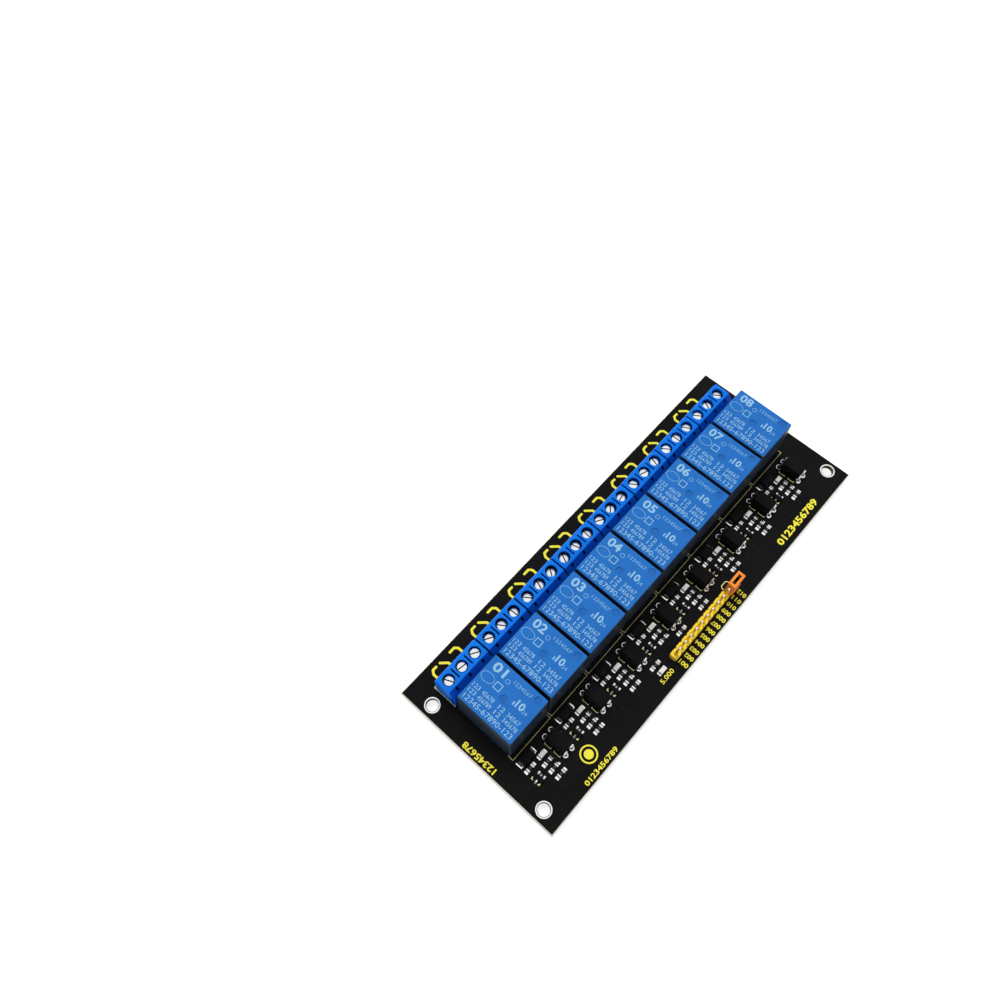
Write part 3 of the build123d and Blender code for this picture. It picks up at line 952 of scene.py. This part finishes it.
class RELAYBOARD_OT_relay_print(Operator):
    """Print plain figures and frames on the relays' tops"""
    bl_idname = "relayboard.relay_print"
    bl_label = "Relay print"

    def execute(self, context):
        looks = looks_of("relay_board_relays")
        height = looks.print_height
        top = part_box("relay_cover_1")[1].z
        row_y = middle_of("relay_cover_1")[1]
        places = [Matrix.Translation((middle, row_y, top - height)) for middle in MIDDLES]

        def row(text, tall, x, y, span, weight=0.0):
            return numerals(text, tall * MM, (x * MM, y * MM, 0), -QUARTER, span * MM, weight * MM, height)

        def line(path, width):
            return strokes([in_mm(*path)], width * MM, height, 0, 0)

        # Each row's text, height, place on the top, length and added weight
        rows = (
            ("12345-67890-123", 1.6, -5.93, 0.05, 16.5),
            ("123", 1.3, -3.95, 7.25, 2.4),
            ("456789", 1.3, -3.95, 3.0, 4.4),
            ("12", 1.3, -3.95, -1.5, 2.0),
            ("345678", 1.3, -3.95, -5.8, 4.7),
            ("123", 1.3, -2.2, 7.25, 2.4),
            ("45678", 1.3, -2.2, 3.2, 3.9),
            ("12", 1.3, -2.2, -1.5, 2.0),
            ("34567", 1.3, -2.2, -5.6, 4.2),
            ("10", 2.2, 1.6, -4.6, 2.5, 0.08),
        )
        square = line([(0.5, 2.1), (2.4, 2.1), (2.4, 4.0), (0.5, 4.0), (0.5, 2.1)], 0.22)
        shared = joined(*(row(*words) for words in rows), square)
        parts = [spread(shared, places)]
        for n, place in enumerate(places):
            parts.append(spread(row(f"{n + 1:02d}", 2.7, 5.2, 5.6, 4.2, 0.10), [place]))
        piece("relay_print", joined(*parts), printing("relay_ink", looks.ink), "relay_case")

        faint = joined(
            row("1234567", 1.1, 5.2, -2.3, 6.0),
            row("1", 1.1, 1.0, -2.75, 0.5),
            row("24", 1.1, 0.9, -6.6, 1.5),
            line(oval(1.5, 6.7, 1.35, 2.05, 40), 0.16),
            line(oval(4.1, 2.0, 0.6, 0.6, 24), 0.16),
        )
        thin = printing("faint_relay_ink", looks.faint_ink)
        piece("relay_faint_print", spread(faint, places), thin, "relay_case")
        return {"FINISHED"}


class RELAYBOARD_OT_terminals(Operator):
    """Model the screw terminal blocks, with their wells, wire entries and slots"""
    bl_idname = "relayboard.terminals"
    bl_label = "Terminal blocks"

    def execute(self, context):
        looks = looks_of("relay_board_terminals")
        low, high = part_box("terminal_housing_1")
        key_reach, key_front, key_back, key_top = 0.4 * MM, 0.6 * MM, 1.2 * MM, 7.4 * MM
        groove_reach, groove_slack, groove_rise = 0.5 * MM, 0.1 * MM, 0.2 * MM
        width = high.x - key_reach - low.x
        half = width / 2
        depth, height = high.y - low.y, high.z - low.z
        front_top, front_drop = 1.95 * MM, 2.6 * MM
        back_top, back_drop = 0.65 * MM, 2.0 * MM
        block = bmesh.new()
        end = block.faces.new([block.verts.new((-half, y, z)) for y, z in (
            (0, 0), (depth, 0), (depth, height - back_drop), (depth - back_top, height),
            (front_top, height), (0, height - front_drop),
        )])
        drawn = bmesh.ops.extrude_face_region(block, geom=[end])
        bmesh.ops.translate(block, vec=(width, 0, 0), verts=only(BMVert, drawn["geom"]))
        bmesh.ops.recalc_face_normals(block, faces=block.faces)
        round_edges(block, edges_above(block, MM), looks.edge_radius, 3)

        screws = axes("terminal_screws")
        line = screws[0][1] - low.y
        poles = [x - low.x - half for x, y in screws[:3]]
        walls = [(a + b) / 2 for a, b in zip(poles, poles[1:])]
        well_drop = 4.5 * MM
        chamber_half, chamber_reach, chamber_top = 2.05 * MM, 2.55 * MM, 7.0 * MM
        entry_half, entry_foot, entry_head = 1.75 * MM, 1.7 * MM, 5.3 * MM
        slot_half, slot_front, slot_back = 0.4 * MM, 0.5 * MM, 2.1 * MM
        slot_foot, slot_head = 1.45 * MM, 0.25 * MM
        wall_half, wall_reach, wall_drop = 0.24 * MM, 1.65 * MM, 2.4 * MM
        wells, chambers, entries = bmesh.new(), bmesh.new(), bmesh.new()
        for x in poles:
            post_into(wells, (x, line, height + MM), looks.well_radius, -well_drop, 48)
            box_into(wells, (x - slot_half, slot_front, height - slot_foot),
                     (x + slot_half, slot_back, height - slot_head))
            box_into(chambers, (x - chamber_half, line - chamber_reach, -MM),
                     (x + chamber_half, line + chamber_reach, chamber_top))
            box_into(entries, (x - entry_half, line, entry_foot), (x + entry_half, depth + MM, entry_head))
        for x in walls:
            box_into(wells, (x - wall_half, line - wall_reach, height - wall_drop),
                     (x + wall_half, line + wall_reach, height + MM))
        box_into(wells, (-half - MM, key_front - groove_slack, -MM),
                 (-half + groove_reach, key_back + groove_slack, key_top + groove_rise))
        block = carved(block, wells, chambers, entries)
        slack = 0.02 * MM

        def in_well(spot, normal):
            sunk = chamber_top < spot.z < height - slack and abs(normal.z) < 0.5
            return sunk and near(spot, [(x, line) for x in poles], 1.02 * looks.well_radius)

        def in_probe_slot(spot, normal):
            inside = min(abs(spot.x - x) for x in poles) < slot_half + slack
            side = abs(normal.y) < 0.01 and height - slot_foot - slack < spot.z < height - slot_head + slack
            behind = normal.y < -0.99
            return inside and slot_front < spot.y < slot_back + slack and (side or behind)

        def in_divider(spot, normal):
            inside = min(abs(spot.x - x) for x in walls) < wall_half + slack
            on_skin = normal.z > 0.5 and spot.z > height - slack
            return inside and not on_skin and abs(spot.y - line) < wall_reach + slack

        # Painted shade: the wells, the probe slots and the divider slots take the darker well material.
        for test in (in_well, in_probe_slot, in_divider):
            paint_faces(block, test)
        key = bmesh.new()
        box_into(key, (half - 0.05 * MM, key_front, 0), (half + key_reach, key_back, key_top))
        block = joined(block, key)
        skins = (terminal_skin(looks), well_shade_skin(looks, high.z))
        for n in range(CHANNELS):
            node = f"terminal_housing_{n + 1}"
            shut = [side for side, outer in ((-1, 0), (1, CHANNELS - 1)) if n != outer]

            def against_neighbour(spot, normal):
                return any(normal.x * side > 0.99 for side in shut) and abs(spot.x) > half - 0.01 * MM

            bm = block.copy()
            # Painted shade: an end that faces a neighbouring block takes the same darker material.
            paint_faces(bm, against_neighbour)
            bmesh.ops.translate(bm, vec=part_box(node)[0] + Vector((half, 0, 0)), verts=bm.verts)
            piece(f"terminal_block_{n + 1}", bm, skins, "terminal_body", node)
        block.free()
        dress("terminal_cages", plating("cage_nickel", looks.cage, 0.30))
        tin = plating("leg_tin", looks_of("relay_board_drive").metal, 0.28)
        dress("terminal_legs", tin)
        dress("relay_pins", tin)
        return {"FINISHED"}


class RELAYBOARD_OT_screws(Operator):
    """Model the slotted clamp screws, each turned and sunk as it was found"""
    bl_idname = "relayboard.screws"
    bl_label = "Clamp screws"

    def execute(self, context):
        looks = looks_of("relay_board_terminals")
        turns = (
            115, 170, 150, 150, 125, 95, 125, 70, 55, 65, 105, 85,
            150, 40, 10, 125, 160, 75, 125, 90, 120, 125, 65, 125,
        )
        sunk = (
            0.8, 0.65, 0.6, 1.1, 1.3, 1.4, 1.2, 1.4, 1.45, 1.2, 1.25, 1.35,
            1.0, 1.2, 1.25, 0.95, 0.75, 0.9, 0.6, 0.85, 0.85, 0.75, 1.0, 0.95,
        )
        radius, tall, core_length = looks.head_radius, looks.head_height, 1.6 * MM
        crown = [(share_of * radius, -drop * MM) for share_of, drop in (
            (0, 0), (0.35, 0.008), (0.65, 0.035), (0.88, 0.09), (0.96, 0.15), (1, 0.28))]
        core = 0.6 * radius
        head = turned(crown + [
            (radius, -tall), (core, -tall), (core, -tall - core_length), (0, -tall - core_length)], 44)
        half, reach = looks.slot_width / 2, 2 * MM
        slot = bmesh.new()
        box_into(slot, (-reach, -half, -looks.slot_depth), (reach, half, MM))
        head = carved(head, slot)

        def in_slot(spot, normal):
            sunk_in = -1.01 * looks.slot_depth < spot.z < -0.01 * MM
            return sunk_in and abs(spot.y) < 1.01 * half and (abs(normal.y) > 0.9 or normal.z > 0.9)

        # Painted shade: the slot's walls and floor take dark plating.
        paint_faces(head, in_slot)
        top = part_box("terminal_housing_1")[1].z
        places = [
            Matrix.Translation((x, y, top - drop * MM)) @ Matrix.Rotation(math.radians(turn), 4, "Z")
            for (x, y), turn, drop in zip(axes("terminal_screws"), turns, sunk)
        ]
        metal = plating("screw_nickel", looks.screw, 0.30, 0.03 * MM, 0.10, 2600)
        slot_shade = plating("slot_painted_shade", looks.slot, 0.55)
        piece("clamp_screws", spread(head, places), (metal, slot_shade), "screw_metal", "terminal_screws")
        return {"FINISHED"}


def bent_lead(waist, reach, wide, thick):
    """A lead that leaves a body towards +Y, bends down and stands on its place at the origin."""
    bend, shoulder, leg_half, leg_top = 0.52 * MM, 0.35 * MM, 0.25 * MM, 0.5 * MM
    bm = bmesh.new()
    start = bm.edges.new([bm.verts.new((x, -reach, waist)) for x in (-wide / 2, wide / 2)])
    run = bmesh.ops.extrude_edge_only(bm, edges=[start])["geom"]
    bmesh.ops.translate(bm, vec=(0, reach - bend, 0), verts=only(BMVert, run))
    curve = bmesh.ops.spin(
        bm, geom=only((BMVert, BMEdge), run), cent=(0, -bend, waist - bend), axis=(1, 0, 0),
        angle=-QUARTER, steps=6, use_merge=False)
    drop = bmesh.ops.extrude_edge_only(bm, edges=only(BMEdge, curve["geom_last"]))["geom"]
    bmesh.ops.translate(bm, vec=(0, 0, shoulder - waist + bend), verts=only(BMVert, drop))
    bmesh.ops.recalc_face_normals(bm, faces=bm.faces)
    shape = thickened(bm, thick, False)
    bmesh.ops.recalc_face_normals(shape, faces=shape.faces)
    round_edges(shape, sharp_edges(shape, 60), 0.05 * MM, 2)
    leg = rounded_box((-leg_half, -thick / 2, -BOARD_TOP), (leg_half, thick / 2, leg_top), 0.04 * MM)
    return joined(shape, leg)


class RELAYBOARD_OT_couplers(Operator):
    """Finish the optocouplers, diodes and transistors and bend the optocouplers' leads"""
    bl_idname = "relayboard.couplers"
    bl_label = "Couplers, diodes and transistors"

    def execute(self, context):
        looks = looks_of("relay_board_drive")
        black = moulding("black_mould", looks.mould, 0.45, 0.045, 0.12)
        dot_side, dot_row, dot_radius, dot_depth = 1.1 * MM, 1.3 * MM, 0.4 * MM, 0.08 * MM
        for n in range(CHANNELS):
            node = f"optocoupler_{n + 1}"
            low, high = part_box(node)
            dot = bmesh.new()
            place = (low.x + dot_side, low.y + dot_row, high.z + MM)
            post_into(dot, place, dot_radius, -MM - dot_depth, 24)
            body = carved(softened(node, looks.edge_radius), dot)
            piece(f"coupler_body_{n + 1}", body, black, "coupler_body", node)
            node = f"flyback_diode_{n + 1}"
            piece(f"diode_body_{n + 1}", softened(node, looks.edge_radius), black, "black_mould", node)
        piece("transistor_bodies", softened("transistors", 0.04 * MM), black, "black_mould", "transistors")

        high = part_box("optocoupler_1")[1]
        middle, waist = middle_of("optocoupler_1")[1:]
        leads = on_board("optocoupler_leads")
        front = [place @ Matrix.Rotation(math.pi, 4, "Z") for place in leads if place.translation.y < middle]
        back = [place for place in leads if place.translation.y > middle]
        wide, thick, sunk = 1.2 * MM, 0.25 * MM, 0.02 * MM
        reach = back[0].translation.y - high.y + sunk
        lead = bent_lead(waist - BOARD_TOP - thick / 2, reach, wide, thick)
        bent = spread(lead, front + back)
        # Painted shade: the back leads, under the relays, take darker tin.
        paint_faces(bent, lambda spot, normal: spot.y > middle)
        metal = plating("lead_tin", looks.metal, 0.24, metallic=0.6)
        shaded = plating("shaded_tin", shade(looks.dull, 0.8), 0.4)
        piece("coupler_leads", bent, (metal, shaded), "tinned_pin", "optocoupler_leads")
        # Painted shade: the diode leads take tin darkened well below the dull colour.
        dress("diode_leads", plating("diode_lead_painted_shade", shade(looks.dull, 0.35), 0.4))
        dress("transistor_leads", metal)
        return {"FINISHED"}


def cones(places, outer, joint, tip, tall):
    """A pad and a cone of solder under the board at each place, in millimetres."""
    bm = bmesh.new()
    post_into(bm, (0, 0, 0), outer * MM, -0.08 * MM, 24)
    post_into(bm, (0, 0, -0.06 * MM), joint * MM, -tall * MM, 20, tip * MM)
    drop = Matrix.Translation((0, 0, BOARD_LOW.z - BOARD_TOP))
    return spread(bm, [drop @ place for place in places])


class RELAYBOARD_OT_solder(Operator):
    """Lay the pads and solder joints of every part, on both faces of the board"""
    bl_idname = "relayboard.solder"
    bl_label = "Pads and solder"

    def execute(self, context):
        looks = looks_of("relay_board_drive")
        metal = plating("solder", looks.metal, 0.22, 0.05 * MM, 0.14, 1800)
        dull = plating("flux_tin", looks.dull, 0.4)
        leads = on_board("optocoupler_leads")
        chips = on_board("chip_resistors")
        diodes = [place for n in range(CHANNELS) for place in on_board(f"flyback_diode_{n + 1}")]
        transistors = on_board("transistors")

        middle = middle_of("optocoupler_1")[1]
        mound = turned(in_mm(
            (0.86, 0), (0.84, 0.06), (0.72, 0.22), (0.58, 0.32), (0.46, 0.30), (0.38, 0.16), (0.36, 0)), 28)
        low_ring = turned(in_mm((0.84, 0), (0.82, 0.08), (0.70, 0.08), (0.66, 0)), 28)
        chip_joint = facing_both_ways(fillet_lump(1.32, 1.98, 0.60, 0.34, 0.10))
        bar = fillet_lump(2.78, 3.2, 1.04, 0.17, 0.07)
        wrap = slab((2.18, 2.80), (-1.04, -0.78), (0, 0.14), 0.06)
        diode_joint = spread(joined(bar, wrap), [Matrix.Identity(4), Matrix.Diagonal((-1, 1, 1, 1))])
        bmesh.ops.recalc_face_normals(diode_joint, faces=diode_joint.faces)
        dot = slab((-0.42, 0.42), (-0.28, 0.28), (0, 0.16), 0.07)
        shifts = [Matrix.Translation((1.22 * MM, row * MM, 0)) for row in (0.95, -0.95)]
        bright = [
            spread(mound, [place for place in leads if place.translation.y < middle]),
            spread(low_ring, [place for place in leads if place.translation.y > middle]),
            spread(chip_joint, chips),
            spread(diode_joint, diodes),
            spread(dot, [place @ shift for place in transistors for shift in shifts]),
        ]
        piece("top_solder", joined(*bright), metal, "tinned_pin")

        pad = slab((0.9, 1.5), (-0.55, 0.55), (0, 0.05), 0.015, 1)
        small = slab((-1.7, -0.95), (-0.28, 0.28), (0, 0.13), 0.06)
        pads = joined(spread(facing_both_ways(pad), chips), spread(small, transistors))
        piece("pads", pads, dull, "tinned_pin")

        leg_thickness = 0.6 * MM
        legs = [
            Matrix.Translation(((low.x + high.x) / 2, low.y + leg_thickness / 2, BOARD_TOP))
            for low, high in stands("terminal_legs")
        ]
        under = joined(
            cones(on_board("relay_pins"), 1.1, 0.95, 0.5, 1.3),
            cones(legs, 1.1, 0.95, 0.6, 1.3),
            cones(leads, 0.8, 0.62, 0.28, 0.9),
            cones(on_board("header_pins"), 0.8, 0.66, 0.36, 0.9),
        )
        piece("under_solder", under, metal, "tinned_pin")
        return {"FINISHED"}


class RELAYBOARD_OT_chips(Operator):
    """Model the chip resistors and lamps with their tinned ends"""
    bl_idname = "relayboard.chips"
    bl_label = "Chip resistors and lamps"

    def execute(self, context):
        looks = looks_of("relay_board_drive")
        metal = plating("cap_tin", looks.metal, 0.24)
        chips = on_board("chip_resistors")
        glaze = slab((-0.68, 0.68), (-0.60, 0.60), (0.02, 0.48), 0.04)
        black = moulding("resistor_glaze", looks.glaze, 0.35, 0.06, 0.2)
        piece("resistor_glaze", spread(glaze, chips), black, "chip_resistor", "chip_resistors")
        cap = slab((0.62, 1.0), (-0.62, 0.62), (0, 0.50), 0.07, 3)
        piece("resistor_caps", spread(facing_both_ways(cap), chips), metal, "tinned_pin")
        code = numerals("102", 0.62 * MM, (0, 0, 0.475 * MM), 0, 0.95 * MM, 0.01 * MM, 0.01 * MM)
        grey = printing("resistor_code", looks.code)
        piece("resistor_codes", spread(code, chips), grey, "chip_resistor")

        lamps = on_board("channel_lamps") + on_board("power_lamp")
        carrier = slab((-1.5, 1.5), (-0.66, 0.66), (0.02, 0.40), 0.05)
        white = moulding("lamp_carrier", looks.ceramic, 0.5, 0.3, 0.05)
        piece("lamp_carriers", spread(carrier, lamps), white, "lamp", "channel_lamps", "power_lamp")
        lens = slab((-0.95, 0.95), (-0.64, 0.64), (0.38, 1.08), 0.12, 3)
        clear = moulding("lamp_lens", looks.lens, 0.25, 0.4, 0.06)
        piece("lamp_lenses", spread(lens, lamps), clear, "lamp")
        end = slab((1.10, 1.6), (-0.68, 0.68), (0, 0.46), 0.10, 3)
        piece("lamp_ends", spread(facing_both_ways(end), lamps), metal, "tinned_pin")
        band = slab((-1.10, -0.97), (-0.5, 0.5), (0.36, 0.5), 0.03)
        dark = moulding("lamp_mark", looks.band, 0.5, 0.1)
        piece("lamp_marks", spread(band, lamps), dark, "lamp")
        return {"FINISHED"}


class RELAYBOARD_OT_header(Operator):
    """Finish the pin header and its jumper"""
    bl_idname = "relayboard.header"
    bl_label = "Header and jumper"

    def execute(self, context):
        looks = looks_of("relay_board_header")
        top = HEADER_HIGH.z
        pins = axes("header_pins")
        recess, recess_depth, end_cell = 0.52 * MM, 0.3 * MM, 0.9 * MM
        wells = bmesh.new()
        for x, y in pins:
            post_into(wells, (x, y, top + MM), recess, -MM - recess_depth, 16)
        strip = carved(softened("header_strip", looks.edge_radius), wells)

        def deep(spot, normal):
            sunk = top - 0.4 * MM < spot.z < top - 0.02 * MM and near(spot, pins, recess + 0.03 * MM)
            notch = min(abs(normal.x), abs(normal.y)) > 0.25 and abs(normal.z) < 0.3
            outermost = min(spot.x - HEADER_LOW.x, HEADER_HIGH.x - spot.x) < end_cell
            return sunk or notch and not outermost

        # Painted shade: the recesses round the pins and the notch faces take a deeper amber.
        paint_faces(strip, deep)
        yellow = moulding("header_yellow", looks.strip, 0.38, 0.2, 0.05)
        notch_shade = moulding("header_notch_shade", looks.notch, 0.45, 0.1, 0.05)
        piece("header_moulding", strip, (yellow, notch_shade), "header_body", "header_strip")

        low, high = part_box("jumper_cap")
        clip = plating("clip_painted_shade", looks.clip, 0.5)
        plated = softened("header_pins", 0.05 * MM, 1)
        # Painted shade: the pins' tips inside the jumper take the dark clip colour.
        paint_faces(plated, lambda spot, normal: spot.x > low.x and spot.z > top)
        piece("plated_pins", plated, (pin_skin(looks), clip), "header_pin", "header_pins")
        dress("jumper_clip", clip)

        row = pins[-1][1]
        caught = [x for x, y in pins if x > low.x]
        hole_half, narrow_half, flared_half, hole_depth = 0.45 * MM, 0.42 * MM, 0.55 * MM, 0.7 * MM
        window = bmesh.new()
        for x, out in zip(caught, (-1, 1)):
            flare = box_into(window, (x - hole_half, row - flared_half, high.z - hole_depth),
                             (x + hole_half, row + flared_half, high.z + MM))
            for vert in flare:
                if (vert.co.x - x) * out < 0:
                    vert.co.y = row + math.copysign(narrow_half, vert.co.y - row)
        cap = carved(softened("jumper_cap", looks.edge_radius), window)

        def in_window(spot, normal):
            inside = low.x + 0.4 * MM < spot.x < high.x - 0.4 * MM and abs(spot.y - row) < 0.63 * MM
            return inside and high.z - 1.2 * MM < spot.z < high.z - 0.02 * MM

        # Painted shade: the walls and floor inside the window take a dark orange-brown.
        paint_faces(cap, in_window)
        orange = moulding("jumper_orange", looks.jumper, 0.36, 0.2, 0.06)
        shadow = moulding("jumper_shadow", looks.window, 0.6, 0.05)
        piece("jumper_moulding", cap, (orange, shadow), "jumper_body", "jumper_cap")
        return {"FINISHED"}


# Studio

def plain_rays(tree):
    """True for rays from the camera and for mirrored and refracted ones."""
    path = tree.nodes.new("ShaderNodeLightPath")
    total = path.outputs["Is Camera Ray"]
    for kind in ("Is Glossy Ray", "Is Transmission Ray"):
        either = tree.nodes.new("ShaderNodeMath")
        either.operation = "MAXIMUM"
        tree.links.new(total, either.inputs[0])
        tree.links.new(path.outputs[kind], either.inputs[1])
        total = either.outputs["Value"]
    return total


def floor_paint(tint, glow):
    """A pale floor that keeps the shadow and reads as white where nothing shades it."""
    paint = bpy.data.materials.new("floor_paint")
    paint.use_nodes = True
    tree = paint.node_tree
    tree.nodes.clear()
    matt = tree.nodes.new("ShaderNodeBsdfDiffuse")
    matt.inputs["Color"].default_value = (*tint, 1)
    strength = tree.nodes.new("ShaderNodeMath")
    strength.operation = "MULTIPLY"
    strength.inputs[1].default_value = glow
    light = tree.nodes.new("ShaderNodeEmission")
    light.inputs["Color"].default_value = (1, 1, 1, 1)
    total = tree.nodes.new("ShaderNodeAddShader")
    out = tree.nodes.new("ShaderNodeOutputMaterial")
    tree.links.new(plain_rays(tree), strength.inputs[0])
    tree.links.new(strength.outputs["Value"], light.inputs["Strength"])
    tree.links.new(matt.outputs["BSDF"], total.inputs[0])
    tree.links.new(light.outputs["Emission"], total.inputs[1])
    tree.links.new(total.outputs["Shader"], out.inputs["Surface"])
    return paint


def studio_sky(strength):
    """Even light from all round, behind a background that reads as white."""
    world = bpy.data.worlds.new("studio")
    world.use_nodes = True
    tree = world.node_tree
    tree.nodes.clear()
    mix = tree.nodes.new("ShaderNodeMixShader")
    for place, tint, power in ((1, (0.97, 0.98, 1.0, 1), strength), (2, (1, 1, 1, 1), 1.0)):
        light = tree.nodes.new("ShaderNodeBackground")
        light.inputs["Color"].default_value = tint
        light.inputs["Strength"].default_value = power
        tree.links.new(light.outputs["Background"], mix.inputs[place])
    out = tree.nodes.new("ShaderNodeOutputWorld")
    tree.links.new(plain_rays(tree), mix.inputs["Fac"])
    tree.links.new(mix.outputs["Shader"], out.inputs["Surface"])
    return world


def hang_lamp(name, strength, direction, spread_angle):
    lamp = bpy.data.lights.new(name, "SUN")
    lamp.energy = strength
    lamp.angle = spread_angle
    lamp.color = (1.0, 0.99, 0.97)
    sun = linked(name, lamp)
    sun.rotation_euler = Vector(direction).to_track_quat("Z", "Y").to_euler()
    return sun


class RELAYBOARD_OT_studio(Operator):
    """Set the floor, the light and the camera"""
    bl_idname = "relayboard.studio"
    bl_label = "Studio"

    def execute(self, context):
        looks = looks_of("relay_board_studio")
        scene = bpy.context.scene
        scene.view_settings.view_transform = "Standard"
        scene.world = studio_sky(looks.sky)

        bm = bmesh.new()
        bmesh.ops.create_grid(bm, x_segments=1, y_segments=1, size=3.0)
        floor = object_of(bm, "floor")
        floor.data.materials.append(floor_paint(looks.floor, looks.glow))

        key = hang_lamp("key", looks.key, (0.20, 0.38, 1.0), looks.spread)
        key.visible_glossy = False
        hang_lamp("rim", looks.rim, (0.9, 0.9, 0.6), looks.spread)

        eye = bpy.data.cameras.new("camera")
        eye.sensor_width = 36
        eye.lens = looks.lens
        eye.clip_start = 0.005
        camera = linked("camera", eye)
        place = Vector((-93.0157, -29.4390, 242.6263)) * MM
        right = Vector((0.6713335, -0.7411553, 0.0004577))
        ahead = Vector((0.3191325, 0.2885106, -0.9027270))
        turn = Matrix((right, right.cross(ahead), -ahead)).transposed().to_4x4()
        camera.matrix_world = Matrix.Translation(place) @ turn
        scene.camera = camera
        return {"FINISHED"}


MAKERS = (
    RELAYBOARD_OT_studio,
    RELAYBOARD_OT_board,
    RELAYBOARD_OT_tracks,
    RELAYBOARD_OT_marks,
    RELAYBOARD_OT_relays,
    RELAYBOARD_OT_relay_print,
    RELAYBOARD_OT_terminals,
    RELAYBOARD_OT_screws,
    RELAYBOARD_OT_couplers,
    RELAYBOARD_OT_solder,
    RELAYBOARD_OT_chips,
    RELAYBOARD_OT_header,
)


class RELAYBOARD_PT_panel(Panel):
    """The board's pieces and their settings"""
    bl_label = "Relay board"
    bl_idname = "RELAYBOARD_PT_panel"
    bl_space_type = "VIEW_3D"
    bl_region_type = "UI"
    bl_category = "Relay Board"

    def draw(self, context):
        for maker in MAKERS:
            self.layout.operator(maker.bl_idname)
        for name, group in GROUPS.items():
            box = self.layout.box()
            for setting in group.__annotations__:
                box.prop(getattr(context.scene, name), setting)


def register():
    for name, group in GROUPS.items():
        bpy.utils.register_class(group)
        setattr(bpy.types.Scene, name, PointerProperty(type=group))
    for maker in (*MAKERS, RELAYBOARD_PT_panel):
        bpy.utils.register_class(maker)


def unregister():
    for maker in (RELAYBOARD_PT_panel, *reversed(MAKERS)):
        bpy.utils.unregister_class(maker)
    for name, group in GROUPS.items():
        delattr(bpy.types.Scene, name)
        bpy.utils.unregister_class(group)


def main():
    register()
    for maker in MAKERS:
        family, name = maker.bl_idname.split(".")
        getattr(getattr(bpy.ops, family), name)()


if __name__ == "__main__":
    main()
